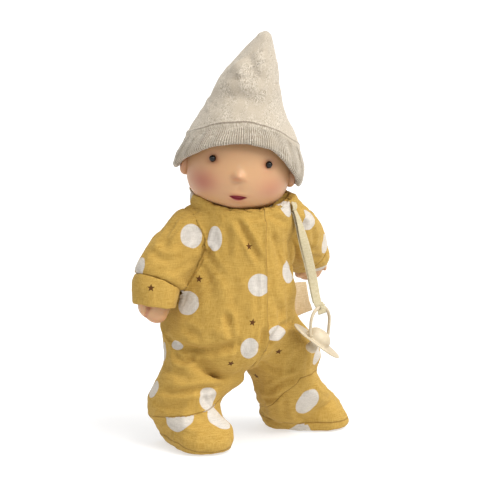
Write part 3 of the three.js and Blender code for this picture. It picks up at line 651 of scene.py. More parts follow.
def skin_material():
    made = Shader("doll_skin")
    place = made.attribute("place", "Vector")
    mottle = made.noise(place, 0.05, 3, 0.55)
    colour = made.mix(mottle, linear(195, 150, 108), linear(200, 157, 115))
    # Blush and rim tints: besides the doll's own blush, lips and eye rims, they carry painted shade on one cheek,
    # under the nose, in the ear hollows and in the folds of the hands
    colour = made.mix(made.times(made.attribute("blush"), 0.72, clamp=True), colour, linear(160, 80, 68))
    colour = made.mix(made.times(made.attribute("rims"), 0.8, clamp=True), colour, linear(160, 80, 54))
    colour = made.mix(made.attribute("mouth"), colour, linear(130, 7, 31))
    fine = made.noise(place, 2.2, 4, 0.6)
    made.set(Base_Color=colour, Roughness=made.add(made.times(fine, 0.12), 0.42), Normal=made.bump(fine, 0.12, 0.0002),
             Subsurface_Weight=0.22, Subsurface_Radius=(1.0, 0.4, 0.2), Subsurface_Scale=0.005,
             Coat_Weight=0.04, Coat_Roughness=0.4)
    return made.material


def bead_material():
    made = Shader("black_bead")
    tint = made.noise(made.own_place(), 300)
    made.set(Base_Color=made.mix(tint, linear(8, 7, 7), linear(16, 13, 12)), Roughness=0.14,
             Specular_IOR_Level=0.35)
    return made.material


head, ears, neck, eyes = head_parts()
skin = skin_material()
give(skin, head, neck, *ears)
give(bead_material(), *eyes)


# Strokes
def dense(points, gap):
    points = np.asarray(points, float)
    out = [points[:1]]
    for a, b in zip(points[:-1], points[1:]):
        count = max(int(np.linalg.norm(b - a) / gap), 1)
        out.append(a + (b - a) * np.linspace(0, 1, count + 1)[1:, None])
    return np.vstack(out)


def nearest(points, line):
    """Distance of each point to a dense line, and how far along the line that is, from 0 to 1."""
    best = np.full(len(points), np.inf)
    share = np.zeros(len(points))
    for i, place in enumerate(line):
        d = np.einsum("ij,ij->i", points - place, points - place)
        closer = d < best
        best[closer] = d[closer]
        share[closer] = i / max(len(line) - 1, 1)
    return np.sqrt(best), share


def on_surface(made, pixels):
    """Where a polyline of photograph pixels lies on a piece, as seen by the camera."""
    tree = surface_tree(made)
    line = curve_points(np.asarray(pixels, float), max(len(pixels) * 4, 6))
    places = [cast(tree, px, py) for px, py in line]
    return np.array([np.array(place) for place in places if place is not None])


def pressed(made, strokes, ridge):
    """Folds: each stroke is (line, width, depth) in millimetres along a line of row-frame points.
    A positive depth sinks, a negative one lifts. The ends fade out."""
    points = coords(made)
    outward = normals(made)
    change = np.zeros(len(points))
    for line, width, depth in strokes:
        if len(line) == 0:
            continue
        width, depth = width / 1000, depth / 1000
        line = dense(line, 0.001)
        low, high = line.min(axis=0) - 4 * width, line.max(axis=0) + 4 * width
        near = np.where(np.all((points > low) & (points < high), axis=1))[0]
        if len(near) == 0:
            continue
        away, share = nearest(points[near], line)
        way = outward[near]
        fade = np.minimum(smoothstep(0, 0.3, share + 0.05), smoothstep(0, 0.3, 1.05 - share))
        # A fold shows only on the side of the piece that it lies on
        seat = line[np.clip((share * (len(line) - 1)).astype(int), 0, len(line) - 1)]
        rise = np.abs(np.einsum("ij,ij->i", points[near] - seat, way))
        fade = fade * np.exp(-(rise / (3 * width)) ** 2)
        valley = np.exp(-(away / width) ** 2)
        banks = np.exp(-((away - 1.9 * width) / (0.9 * width)) ** 2)
        change[near] -= depth * fade * (valley - ridge * banks)
    set_coords(made, points + outward * change[:, None])


# Outline
# Shift tables hold a place in the photograph's pixels and how far the real outline lies from there.
def shift_field(table, reach):
    """A smooth field of picture shifts that takes the given values at the given pixels."""
    table = np.array(table, float)
    spots, moves = table[:, :2], table[:, 2:]

    def near(seen):
        return np.exp(-np.sum((seen[:, None] - spots[None]) ** 2, axis=2) / (2 * reach ** 2))

    weights = np.linalg.solve(near(spots) + 0.03 * np.eye(len(spots)), moves)
    return lambda seen: near(seen) @ weights


def moved_in_picture(points, moves):
    """Points moved by pixels of the photograph, across and down, in the picture's plane."""
    pixel = FRAME_WIDTH / PICTURE
    return points + pixel * (moves[:, :1] * np.array([1, 0, 0]) - moves[:, 1:] * UPWARD)


# Cap
CAP_SHIFTS = [
    (267.9, 26.1, -2.5, 4.7), (259.6, 28.9, 0, 5), (276.9, 31.5, -5.8, 3.8), (278.1, 49.4, -4.1, 0),
    (282.6, 71.1, -4.5, 0), (283.2, 86.4, -3.2, 0), (284.5, 99.2, -3.3, 0), (290.3, 114.5, -5.1, 0),
    (295.4, 128.6, -3.8, 0), (299.2, 141.3, -1.9, 0), (301.8, 158, -0.6, 0), (303, 171, 0, 0), (298.6, 184, 0, 2),
    (249.4, 37.9, 1.5, 3.5), (239.2, 48.1, 2.5, 3.5), (227.7, 60.9, 3, 3), (221.3, 74.9, 1.3, 0), (215, 88, 0, 0),
    (211, 94, 0.5, 0), (204.7, 100.5, 2.5, 0), (197, 109.4, 4, 0), (188.1, 124.7, 3.2, 0), (181.7, 138.8, 2.2, 0),
    (176.6, 150.3, 0.9, 0), (174.7, 165.6, -1, -2.5), (178.5, 170.7, -1.5, -4), (185.5, 161.8, 0, -3.3),
    (198.3, 154, 0, -1), (211, 147.7, 0, 0), (223.9, 143.2, 0, 2.4), (236.6, 140.7, 0, 3.4), (249.4, 140.7, 0, 3.6),
    (262.2, 146.4, 0, 0.5), (275, 152.8, 0, -1), (287.7, 164.3, 0, 1), (245, 90, 0, 0), (240, 118, 0, 0),
]

CROWN_Z = [-40, -14, 6, 20, 30, 40.5, 51.5, 64.5, 80, 94.5, 104, 108.5, 110.2]
CROWN_R = [46, 46, 45.8, 43.6, 40.2, 35.2, 28.4, 24.7, 19.6, 12.0, 7.2, 4.4, 0.05]
CROWN_X = [0.5, 0.5, 0.5, 0.6, 1.0, 0.2, 0.8, 1.2, 2.6, 6.0, 8.6, 9.8, 10.2]
CROWN_Y = [0, 0, 0, 0, 0, 0.3, 0.8, 1.5, 2.8, 4.0, 4.8, 5.1, 5.2]


def along_crown(z):
    fine = curve_points(np.stack([CROWN_Z, CROWN_R, CROWN_X, CROWN_Y], axis=1), 400)
    return [np.interp(z, fine[:, 0], fine[:, k]) for k in (1, 2, 3)]


def rim_height(turn, front, side, back, power):
    facing = np.cos(turn)
    far = np.where(facing > 0, front, back)
    return side + (far - side) * np.abs(facing) ** power


cap_shift = shift_field(CAP_SHIFTS, 10)


def brim_top(turn):
    return rim_height(turn, 39.8, 20, 14, 1.2) + 0.5 * np.sin(4 * turn) + 0.3 * np.sin(9 * turn + 1) \
        - 2.8 * np.exp(-((turn - 5.1) / 0.5) ** 2)


CAP_SIZE = 46
# Folds of the crown: a line, its width and depth in millimetres; first by pixels, then by places in the head's frame
CAP_FOLDS = (
    (((236, 62), (240, 71), (242, 79)), 6.5, 3.0), (((224, 86), (240, 86), (256, 90), (266, 94)), 5.0, 1.5),
    (((258, 52), (262, 64)), 5.0, 1.2), (((251, 66), (257, 80)), 5.0, -1.4),
    (((224, 98), (240, 94), (256, 99)), 6.0, -1.0), (((206, 113), (212, 104)), 4.0, 1.0),
    (((276, 84), (278, 96)), 4.5, 0.8),
)
HIDDEN_CAP_FOLDS = (
    (((-20, 34, 60), (0, 30, 66), (20, 24, 62)), 6, 2.0), (((22, 10, 72), (24, -4, 84)), 5, 1.2),
    (((-8, 22, 84), (6, 20, 90)), 5, 1.4), (((-30, 22, 42), (-34, 6, 48)), 6, 1.0),
)


def crown_part():
    rows, columns = 230, 420
    turn = turns(columns)
    low = rim_height(turn, 27, -11, -19, 1.4) + 3.5
    share = np.linspace(0, 1, rows)[:, None] ** 0.9
    z = low + (CROWN_Z[-1] - low) * share
    radius, x, y = along_crown(z)
    points = np.stack([x + radius * np.sin(turn), y - radius * np.cos(turn), z], axis=2).reshape(-1, 3)
    flat = np.stack([np.broadcast_to(turn * CAP_SIZE, z.shape), z, radius], axis=2).reshape(-1, 3)
    made = new_object("cap_cone", from_head(points), [f[::-1] for f in grid_faces(rows, columns)])
    edge = (z - brim_top(turn)).ravel()
    swell(made, -0.0009 * np.exp(-(edge / 1.3) ** 2))
    strokes = [(on_surface(made, pixels), width, depth) for pixels, width, depth in CAP_FOLDS]
    strokes += [(from_head(line), width, depth) for line, width, depth in HIDDEN_CAP_FOLDS]
    pressed(made, strokes, 0.3)
    rippled(made, (0.0005, 0.024, 3), (0.00022, 0.009, 4))
    set_coords(made, moved_in_picture(coords(made), cap_shift(screen(coords(made)))))
    set_attribute(made, "knit", flat)
    set_attribute(made, "fold", np.abs(edge - 0.25) / 9)
    modified(made, "SOLIDIFY", thickness=0.0024, offset=-1)
    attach(made, "cap")
    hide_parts("cap_crown")
    return made


def brim_part():
    columns, size, roll = 760, 48, 0.16
    turn = turns(columns)
    low = rim_height(turn, 27, -11, -19, 1.4)
    high = brim_top(turn)
    low = low + 0.5 * np.sin(3 * turn + 1) + 0.35 * np.sin(7 * turn + 2.2) + 0.2 * np.sin(13 * turn)
    section = [(share, "out") for share in np.linspace(1, roll, 44)]
    section += [(tilt, "roll") for tilt in np.linspace(0, math.pi, 22)[1:-1]]
    section += [(share, "in") for share in np.linspace(roll, 1, 16)]
    thick_share = [0, 0.1, 0.2, 0.35, 0.5, 0.65, 0.8, 0.92, 0.97, 1.0]
    thickness = [4.6, 5.2, 5.3, 5.3, 4.9, 3.9, 2.9, 2.4, 2.1, 1.0]
    rows, knit = [], []
    for value, kind in section:
        if kind == "roll":
            z = low + roll * (high - low) * (1 - math.sin(value))
            inner, x, y = along_crown(z)
            full = np.interp(roll, thick_share, thickness)
            radius = inner + 0.3 + full * (0.5 + 0.5 * math.cos(value)) - 0.3 * math.sin(value)
        else:
            z = low + value * (high - low)
            inner, x, y = along_crown(z)
            radius = inner + (0.3 + np.interp(value, thick_share, thickness) if kind == "out" else 0.15)
        rows.append(np.stack([x + radius * np.sin(turn), y - radius * np.cos(turn), z], axis=1))
        knit.append(np.stack([turn * size, z, radius], axis=1))
    faces = grid_faces(len(section), columns, closed=True)
    made = new_object("cap_turn_up", from_head(np.vstack(rows)), faces)
    flat = np.vstack(knit)
    spots = coords(made)
    ribs = np.sin(flat[:, 0] / size * 132) * (0.6 + 0.4 * waves(flat, 9, 21))
    bobbles = np.sin(flat[:, 1] * 2 * math.pi / 2.1 + 1.5 * np.sin(flat[:, 0] / size * 66))
    swell(made, 0.00026 * ribs + 0.0002 * bobbles * np.abs(ribs) + 0.00045 * waves(spots, 0.018, 5)
          + 0.0002 * waves(spots, 0.006, 6))
    set_coords(made, moved_in_picture(coords(made), cap_shift(screen(coords(made)))))
    fold = [2 - 2 * value if kind == "out" else 1.0 for value, kind in section]
    set_attribute(made, "fold", np.repeat(fold, columns))
    set_attribute(made, "knit", flat)
    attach(made, "cap")
    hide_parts("cap_brim")
    return made


def felt_material(name, coarse):
    made = Shader(name)
    knit = made.attribute("knit", "Vector")
    streak = made.noise(knit, 1.0, 3, 0.6, stretch=(1.1, 0.4, 0.4) if coarse else (0.9, 0.7, 0.5))
    grain = made.noise(knit, 1.0, 4, 0.7, stretch=(1.7, 1.5, 0.8))
    patch = made.noise(knit, 1.0, 2, 0.5, stretch=(0.07, 0.09, 0.07))
    fleck = made.add(made.times(streak, 0.5), made.times(grain, 0.5))
    colour = made.mix(made.ramp(fleck, 0.36, 0.62), linear(138, 125, 104), linear(216, 206, 191))
    colour = made.mix(made.ramp(patch, 0.3, 0.75), colour, linear(182, 170, 152))
    colour = made.mix(made.ramp(grain, 0.6, 0.72), colour, linear(232, 224, 212))
    # Loops: rows of stitches one above another
    rib = made.node("ShaderNodeTexWave", {"Scale": 0.16 if coarse else 0.3, "Distortion": 1.6, "Detail": 2,
                                          "Detail Scale": 0.6, "Vector": knit},
                    wave_type="BANDS", bands_direction="X", wave_profile="SIN")["Fac"]
    # Painted shade: on the turned-up edge the grooves between the ribs are darkened
    if coarse:
        colour = made.mix(made.times(made.ramp(rib, 0.5, 0.0), 0.7), colour, linear(118, 105, 88))
    # The folded edge lies in its own shadow
    edge = made.ramp(made.attribute("fold"), 0.055, 0.012)
    colour = made.mix(made.times(edge, 0.7), colour, linear(92, 78, 62))
    height = made.add(made.times(rib, 0.9 if coarse else 0.15), grain)
    made.set(Base_Color=colour, Roughness=0.95, Normal=made.bump(height, 0.8 if coarse else 0.45, 0.0008),
             Sheen_Weight=0.5, Sheen_Roughness=0.5, Sheen_Tint=linear(236, 230, 220), Specular_IOR_Level=0.15)
    return made.material


give(felt_material("knitted_wool", False), crown_part())
give(felt_material("knitted_wool_edge", True), brim_part())

# Romper
# Field lines of the limbs in the body frame, in millimetres, as the CAD has them
TORSO_Z = np.linspace(60, 202, 7)
TORSO_X = 54 * np.array([-0.07, -0.16, -0.18, -0.1, -0.01, 0, 0])
TORSO_W = 54 * np.array([0.92, 0.99, 0.91, 0.79, 0.71, 0.76, 0.78])
TORSO_D = 42 * np.array([0.95, 1, 0.97, 0.92, 0.86, 0.86, 0.81])
ARM_LINES = {
    "right": [[-41, 0, 170], [-56, -2, 157], [-69, -5.5, 140], [-76.5, -9, 122], [-78.5, -11.5, 104]],
    "left": [[41, 0, 170], [52.2, 13.5, 161.6], [62.8, 27.5, 151.1], [69.9, 41.6, 140.2], [74, 54, 128]],
}
SIGN = {"right": -1, "left": 1}


def torso_level(points):
    z = points[:, 2]
    return np.sqrt(((points[:, 0] - np.interp(z, TORSO_Z, TORSO_X)) / np.interp(z, TORSO_Z, TORSO_W)) ** 2
                   + (points[:, 1] / np.interp(z, TORSO_Z, TORSO_D)) ** 2)


def arm_line(side, count):
    return curve_points(ARM_LINES[side], count)


def arm_level(points, side):
    away, share = nearest(points, arm_line(side, 60))
    return away / np.interp(share, [0, 0.25, 0.5, 0.75, 1], [19, 20.5, 19.5, 18, 16.5])


def sleeve_field(points, side):
    """Over zero on the sleeve's side of the armhole seam."""
    apart = torso_level(points) - arm_level(points, side)
    plane = (points - np.array([SIGN[side] * 37.5, 0, 168])) @ np.array([SIGN[side] * 0.93, 0, -0.37])
    return np.minimum(apart * 18, plane)


def middle_field(points):
    """Over zero on the figure's left of the closure in front, the crotch seam and the seam behind."""
    z = points[:, 2]
    front = np.interp(z, [58, 72, 92], [-3, 1, 5.5])
    back = np.interp(z, [58, 90, 130], [-3, -6, -4])
    share = smoothstep(6, -6, points[:, 1])
    return points[:, 0] - (back + (front - back) * share)


def cut_along(shape, field):
    """Cuts the faces of a mesh under edit along the field's zero line."""
    shape.verts.index_update()
    value = field(to_body(np.array([spot.co for spot in shape.verts])))
    value[np.abs(value) < 0.12] = 0
    on_line = {spot for spot in shape.verts if value[spot.index] == 0}
    crossed = [edge for edge in shape.edges if value[edge.verts[0].index] * value[edge.verts[1].index] < 0]
    for edge in crossed:
        first, second = (value[spot.index] for spot in edge.verts)
        on_line.add(bmesh.utils.edge_split(edge, edge.verts[0], first / (first - second))[1])
    faces = {face for spot in on_line for face in spot.link_faces}
    for face in faces:
        ends = [spot for spot in face.verts if spot in on_line]
        count = len(face.verts)
        if len(ends) != 2 or count < 4:
            continue
        order = [list(face.verts).index(spot) for spot in ends]
        if (order[1] - order[0]) % count not in (1, count - 1):
            bmesh.utils.face_split(face, *ends)


def draped(made, frames):
    """Cloth cut a little larger than the stuffing settles over it: folds form where it has room."""
    rest = coords(made)
    inner = linked("stuffing", made.data.copy())
    set_coords(inner, rest - normals(made) * 0.0022)
    inner.modifiers.new("collide", "COLLISION")
    inner.collision.thickness_outer = 0.0006
    inner.collision.cloth_friction = 12
    spots = to_body(rest)
    # Held at the neck, the soles and the wrists
    held = smoothstep(196, 201, spots[:, 2]) + smoothstep(9, 5, spots[:, 2])
    for side in SIGN:
        away, share = nearest(spots, arm_line(side, 60))
        held += smoothstep(0.72, 0.8, share) * (away < 24)
    group = made.vertex_groups.new(name="held")
    for i in np.where(held > 0.02)[0]:
        group.add([int(i)], float(min(held[i], 1)), "REPLACE")
    cloth = made.modifiers.new("cloth", "CLOTH")
    for key, value in dict(quality=6, mass=0.12, air_damping=3, tension_stiffness=18, compression_stiffness=18,
                           shear_stiffness=8, bending_stiffness=0.35, vertex_group_mass="held",
                           shrink_min=-0.055).items():
        setattr(cloth.settings, key, value)
    cloth.settings.effector_weights.gravity = 0.6
    cloth.collision_settings.distance_min = 0.0008
    cloth.collision_settings.collision_quality = 3
    cloth.collision_settings.use_self_collision = False
    cloth.point_cache.frame_start = 1
    cloth.point_cache.frame_end = frames
    for number in range(1, frames + 1):
        scene.frame_set(number)
    settled = made.evaluated_get(bpy.context.evaluated_depsgraph_get())
    moved = gathered(settled.to_mesh().vertices, "co")
    settled.to_mesh_clear()
    made.modifiers.clear()
    made.vertex_groups.clear()
    bpy.data.objects.remove(inner)
    scene.frame_set(1)
    step = moved - rest
    size = np.linalg.norm(step, axis=1)
    step *= np.minimum(1, 0.006 / np.maximum(size, 1e-9))[:, None]
    set_coords(made, rest + step)


NECK_SIDE = -6.0


def neck_top(fore):
    """Height of the neck band's upper edge, for the cosine of the angle from straight ahead."""
    return 202.5 - 7.3 * smoothstep(0.5, 0.97, fore) + 5.5 * np.clip(-fore, 0, 1) ** 1.5


def cloth_base():
    made = joined_nodes(
        "cloth_base", "torso_body", "romper_front_right", "romper_front_left", "romper_back_right",
        "romper_back_left", "right_sleeve", "right_arm", "left_sleeve", "left_arm", "right_trouser",
        "right_leg", "right_foot_upper", "right_sole", "left_trouser", "left_leg", "left_foot_upper",
        "left_sole", "placket", "collar")
    # Fullness at the shoulders and the right groin that the solids leave out
    add_balls(made.data, (((-36, 0, 180), (12, 20, 13)), ((34, 0, 186), (13, 20, 14)), ((-18, -7, 57), (12, 16, 16))),
              lambda spot: spot)
    modified(made, "REMESH", mode="VOXEL", voxel_size=0.0022)
    points = to_body(coords(made))
    aside, fore = points[:, 0] - NECK_SIDE, -points[:, 1]
    out = np.hypot(aside, fore)
    ahead = np.clip(fore / np.maximum(out, 1), -1, 1)
    limit = neck_top(ahead) - 3.5 * smoothstep(0.45, 0, ahead)
    over = (points[:, 2] > limit) & (out < 46)
    points[over, 2] = limit[over] + 0.1 * (points[over, 2] - limit[over])
    set_coords(made, from_body(points))
    modified(made, "SMOOTH", factor=0.5, iterations=12)
    # The neckline lies against the chin from below
    points = to_head(coords(made))
    out = np.minimum(np.hypot(points[:, 0], points[:, 1]) / (HEAD_RADIUS + 0.9), 1)
    power, height = head_form(-1)
    chin = -(height + 0.6) * (1 - out ** power) ** (1 / power) - 0.8
    chin = chin - hills(points[:, 0], points[:, 1], ((1.4, 0, -28, 11, 9),))
    close = (out < 1) & (points[:, 2] > chin)
    points[close, 2] = chin[close]
    set_coords(made, from_head(points))
    swell(made, 0.0007)
    draped(made, 16)
    modified(made, "SMOOTH", factor=0.4, iterations=2)
    modified(made, "SUBSURF", levels=1, render_levels=1)
    return made


def to_design_x(points):
    return points @ BODY_TURN.T[:, 0] + BODY_AT[0] - SHIFT[0]


def ankle_right(points):
    side = to_design_x(points)
    return points[:, 2] - (30.5 + 0.2 * (side + 40) + 6 * smoothstep(-14, -2, side))


def ankle_left(points):
    return points[:, 2] - np.clip(34 + 0.9 * (to_design_x(points) - 29.6), 22, 52)


def sole_right(points):
    return points[:, 2] - (11.5 - 6.5 * smoothstep(-30, -62, points[:, 1]))


def sole_left(points):
    return points[:, 2] - 12.5


def split(base):
    """The base cut along its seams into the sewn pieces, each a mesh of its own."""
    shape = bmesh.new()
    shape.from_mesh(base.data)
    for field in (middle_field, lambda p: sleeve_field(p, "right"), lambda p: sleeve_field(p, "left")):
        cut_along(shape, field)
    shape.verts.index_update()
    points = to_body(np.array([spot.co for spot in shape.verts]))
    faces = [[spot.index for spot in face.verts] for face in shape.faces]
    shape.free()
    centres = np.array([points[face].mean(axis=0) for face in faces])
    owner = np.where(middle_field(centres) > 0, 1, 0)
    for number, side in ((2, "right"), (3, "left")):
        sleeve = sleeve_field(centres, side) > 0
        away, share = nearest(centres, arm_line(side, 100))
        owner[sleeve] = np.where(share[sleeve] < 0.69, number, -1)
    made = []
    for number, name in enumerate(("romper_right_half", "romper_left_half", "sleeve_right", "sleeve_left")):
        own = [faces[i] for i in np.where(owner == number)[0]]
        used = sorted({index for face in own for index in face})
        renamed = {index: place for place, index in enumerate(used)}
        piece = new_object(name, from_body(points[used]), [[renamed[i] for i in face] for face in own])
        edited(piece.data, biggest_part)
        made.append(piece)
    bpy.data.objects.remove(base)
    return made


def arm_frames(side, shares):
    """Centre, breadth, depth and length directions of the arm at shares of its line, in the body frame."""
    line = arm_line(side, 200)
    along = unit(at_shares(np.gradient(line, axis=0), shares))
    deep = unit(np.array([0, -1.0, 0]) + along * along[:, 1:2])
    return at_shares(line, shares), np.cross(deep, along), deep, along


CUFF_START = 0.6
CUFF_ENDS = {"right": 0.815, "left": 0.775}


def tucked_sleeve(made, side):
    """The sleeve puffs a little over the cuff and dips behind its upper edge."""
    points = to_body(coords(made))
    line = arm_line(side, 200)
    share = nearest(points, line)[1]
    way = unit(points - at_shares(line, share))
    change = 1.1 * np.exp(-((share - 0.53) / 0.05) ** 2) - 3.4 * smoothstep(0.572, 0.6, share)
    set_coords(made, from_body(points + way * change[:, None]))


def cuff_part(side):
    """A turned-up cuff: a thick band with a rolled lower edge, open at its end."""
    columns, seed = 340, {"right": 61, "left": 62}[side]
    turn = turns(columns)
    # Share of the arm's line, radius, and how far the ring lies past its share along the arm
    end, span = CUFF_ENDS[side], CUFF_ENDS[side] - CUFF_START
    section = [(CUFF_START + span * run, 19.0 - 0.7 * run + 0.5 * math.sin(run * math.pi), 0)
               for run in np.linspace(0, 1, 24)]
    section += [(end, 17.0 + 1.3 * math.cos(tilt), 2.0 * math.sin(tilt)) for tilt in np.linspace(0, math.pi, 16)[1:-1]]
    section += [(end - span * run, 15.7 + 0.9 * run, 0) for run in np.linspace(0, 1, 14)]
    section += [(CUFF_START, 17.6, -0.8), (CUFF_START, 18.6, -0.9)]
    centre, wide, deep, along = arm_frames(side, [row[0] for row in section])
    rows = []
    for i, (share, radius, past) in enumerate(section):
        size = radius + 0.35 * np.sin(2 * turn + 1.1 + share * 6) + 0.25 * np.sin(5 * turn + seed + share * 14)
        ring = centre[i] + along[i] * (past + 0.5 * np.sin(2 * turn + seed) * (share > 0.7))[:, None]
        rows.append(ring + wide[i] * (size * np.cos(turn))[:, None] + deep[i] * (size * 0.97 * np.sin(turn))[:, None])
    made = new_object(f"turned_cuff_{side}", from_body(np.vstack(rows)),
                      grid_faces(len(section), columns, closed=True))
    outward_faces(made)
    rippled(made, (0.00035, 0.013, seed), (0.00015, 0.005, seed))
    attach(made, f"{side}_arm")
    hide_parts(f"{side}_cuff")
    return made


def hand_part(side):
    """A smooth mitten-like baby hand with a thumb laid against it."""
    centre, wide, deep, along = (value[0] for value in arm_frames(side, [0.83]))
    if side == "left":
        # This hand hangs down out of its cuff
        centre = centre + np.array([-3, -4.5, -6.5])
        along = unit(along + np.array([0.1, -0.3, -0.9]))
        deep = unit(deep - along * (deep @ along))
        wide = np.cross(deep, along)
    axes = np.array([wide * SIGN[side] * (1 if wide[0] > 0 else -1), deep, along])
    # Palm, back, fingers and thumb
    lumps = (((0, 0, -6), (12.6, 10.8, 13)), ((0.8, 0.5, 1), (14, 9.4, 11)), ((-0.6, 1.6, 5.5), (10, 7.2, 8.6)),
             ((11.8, 4.6, -1), (3.3, 3.8, 9)))
    made = linked(f"hand_{side}", bpy.data.meshes.new(f"hand_{side}"))
    add_balls(made.data, lumps, lambda spot: centre + spot @ axes)
    modified(made, "REMESH", mode="VOXEL", voxel_size=0.0005)
    modified(made, "SMOOTH", factor=0.5, iterations=9)
    place = (to_body(coords(made)) - centre) @ axes.T
    # The fold beside the thumb and a dimple at its root
    sink = 0.9 * np.exp(-((place[:, 0] - 9) / 1.1) ** 2) * smoothstep(-2, 2, place[:, 2])
    sink += 0.9 * np.exp(-((place[:, 0] - 8) / 1.7) ** 2 - ((place[:, 2] - 1.5) / 1.8) ** 2)
    sink *= place[:, 1] > 2
    swell(made, -sink / 1000)
    # Painted shade: the fold beside the thumb and the dimple are darkened with blush and rim tint; the tint that grows
    # toward the fingers is the hand's own colour
    shade = np.clip(sink, 0, 1)
    painted(made, place, blush=0.25 * smoothstep(6, 14, place[:, 2]) + 0.45 * shade, rims=0.35 * shade)
    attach(made, f"{side}_arm")
    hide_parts(f"{side}_hand")
    return made


def collar_part():
    """A soft stand-up band that closes round the neck, lower under the chin."""
    columns, half_thick = 420, 1.3
    turn = turns(columns)
    fore = np.cos(turn)
    top = neck_top(fore) - 6 * smoothstep(0.25, 0.75, fore)
    foot = top - 10 + 5 * np.clip(fore, 0, 1)
    section = [(run, half_thick + 0.6 * math.sin(run * math.pi)) for run in np.linspace(0, 1, 18)]
    section += [(1 + 0.1 * math.sin(tilt), half_thick * math.cos(tilt)) for tilt in np.linspace(0, math.pi, 12)[1:-1]]
    section += [(run, -half_thick) for run in np.linspace(1, -0.2, 12)]
    section += [(-0.2, 0.6)]
    rows = []
    for share, out in section:
        wavy = 0.4 * np.sin(3 * turn + 0.5) + 0.25 * np.sin(8 * turn + 2 + 3 * share)
        radius = 36 + out + wavy - 4 * smoothstep(0.2, 0.8, fore)
        rows.append(np.stack([NECK_SIDE + radius * np.sin(turn), -radius * 0.9 * np.cos(turn),
                              foot + share * (top - foot)], axis=1))
    # The band lies against the head where it would meet it
    inside = to_head(from_body(np.vstack(rows)))
    level = np.array([head_level(z) for z in inside[:, 2]]) + 0.6
    radius = np.linalg.norm(inside[:, :2], axis=1)
    layer = np.repeat([out for share, out in section], columns) + half_thick
    need = np.maximum(level + layer - radius, 0) * np.tile(fore < 0.35, len(section))
    inside[:, :2] *= ((radius + need) / radius)[:, None]
    made = new_object("neck_band", from_head(inside), grid_faces(len(section), columns, closed=True))
    outward_faces(made)
    rippled(made, (0.0003, 0.012, 71), (0.00015, 0.005, 72))
    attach(made, "torso")
    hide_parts("collar")
    return made


def biggest_part(shape):
    """Drops the crumbs that a cut leaves beside the main piece."""
    seen, groups = set(), []
    for start in shape.verts:
        if start in seen:
            continue
        group, stack = [], [start]
        seen.add(start)
        while stack:
            spot = stack.pop()
            group.append(spot)
            fresh = [other for edge in spot.link_edges if (other := edge.other_vert(spot)) not in seen]
            seen.update(fresh)
            stack += fresh
        groups.append(group)
    for group in sorted(groups, key=len)[:-1]:
        bmesh.ops.delete(shape, geom=group, context="VERTS")


FLANGE_TOP = 191


def closure_depth(name, place):
    """How far a border sinks: the right front laps over the left one, and other seams sink alike."""
    if place[1] > 0 or place[2] < 72:
        return 0.0009
    if place[2] > 186:
        return 0.0002
    return {"romper_right_half": -0.0011, "romper_left_half": 0.0004}.get(name, 0.0009)


def rolled_borders(made, width=0.0028):
    """The cut edges of a sewn piece turn inwards, so that a seam shows as a groove."""
    def change(shape):
        edges = [edge for edge in shape.edges if edge.is_boundary]
        ends = np.array([[spot.co for spot in edge.verts] for edge in edges])
        line = np.vstack([ends[:, 0], ends.mean(axis=1), ends[:, 1]])
        tree = point_tree(line)
        for spot in shape.verts:
            away = tree.find(spot.co)[2]
            if away < width:
                depth = closure_depth(made.name, to_body(np.array(spot.co)))
                spot.co -= spot.normal * depth * (1 - away / width) ** 1.5
        # An inner flange behind the edge closes the seam
        grown = bmesh.ops.extrude_edge_only(shape, edges=edges)
        fresh = {part for part in grown["geom"] if isinstance(part, bmesh.types.BMVert)}
        shape.normal_update()
        for spot in fresh:
            partners = [edge.other_vert(spot) for edge in spot.link_edges if edge.other_vert(spot) not in fresh]
            partner = min(partners, key=lambda other: (other.co - spot.co).length, default=None)
            if partner is not None:
                low = to_body(np.array(partner.co))[2] < FLANGE_TOP
                spot.co = spot.co - partner.normal * (0.0035 if low else 0.0005)

    edited(made.data, change)
    smooth_shaded(made.data).update()


def point_tree(points):
    tree = KDTree(len(points))
    for i, place in enumerate(points):
        tree.insert(place, i)
    tree.balance()
    return tree


romper = split(cloth_base())
right_half, left_half, right_sleeve, left_sleeve = romper
cuffs = [cuff_part(side) for side in ("right", "left")]
hands = [hand_part(side) for side in ("right", "left")]
collar = collar_part()
give(skin, *hands)
tucked_sleeve(right_sleeve, "right")
tucked_sleeve(left_sleeve, "left")

# Outline: where the smooth shapes show in the photograph's pixels, and how far the real cloth lies from there
BODY_SHIFTS = [
    (170, 318, -8, 0), (170, 332, -8, 0), (167, 346, -4.5, 0), (165, 357, -1.5, 0), (160, 383, -5.5, 0),
    (159, 402, -12, 1), (162.5, 418, -10, 0), (166, 433, -4, -1), (196, 400, -10, 0), (196, 384, -4, 0),
    (196, 418, -5, 0), (236, 372, 2, 1), (234.6, 382, 0, 0), (232.8, 398, -11, 0), (228, 411, -7, 0), (226, 422, 0, 0),
    (231, 438, 2, 0), (200, 445, 0, 0), (247, 365, 0, 4), (200, 335, -1, 0), (205, 300, 0, 0), (245, 310, 0, 0),
    (210, 362, 0, 0), (291, 278, 1.5, 0), (291.5, 295, 0.5, 0), (293, 309, -4, 0), (299, 321, -6, 0), (265, 285, 0, 0),
    (322.4, 365, -4.5, 0), (323.3, 379, -6, -1), (323.3, 389, 4, -1), (338, 398, -2, 0), (345, 410, 0, 2),
    (257, 405, 2.6, 0), (263, 418, 1.5, 0), (248, 374, 1, 0), (250, 384, 5.5, 0), (254, 393, 4.4, 0), (285, 385, 0, 0),
    (293, 246, -5, 0), (293.5, 230, -1, 0), (300, 402, 0, 0), (290, 335, 0, 0), (300, 425, 0, 2), (265, 425, 0, 1),
    (330, 424, 0, 2),
]
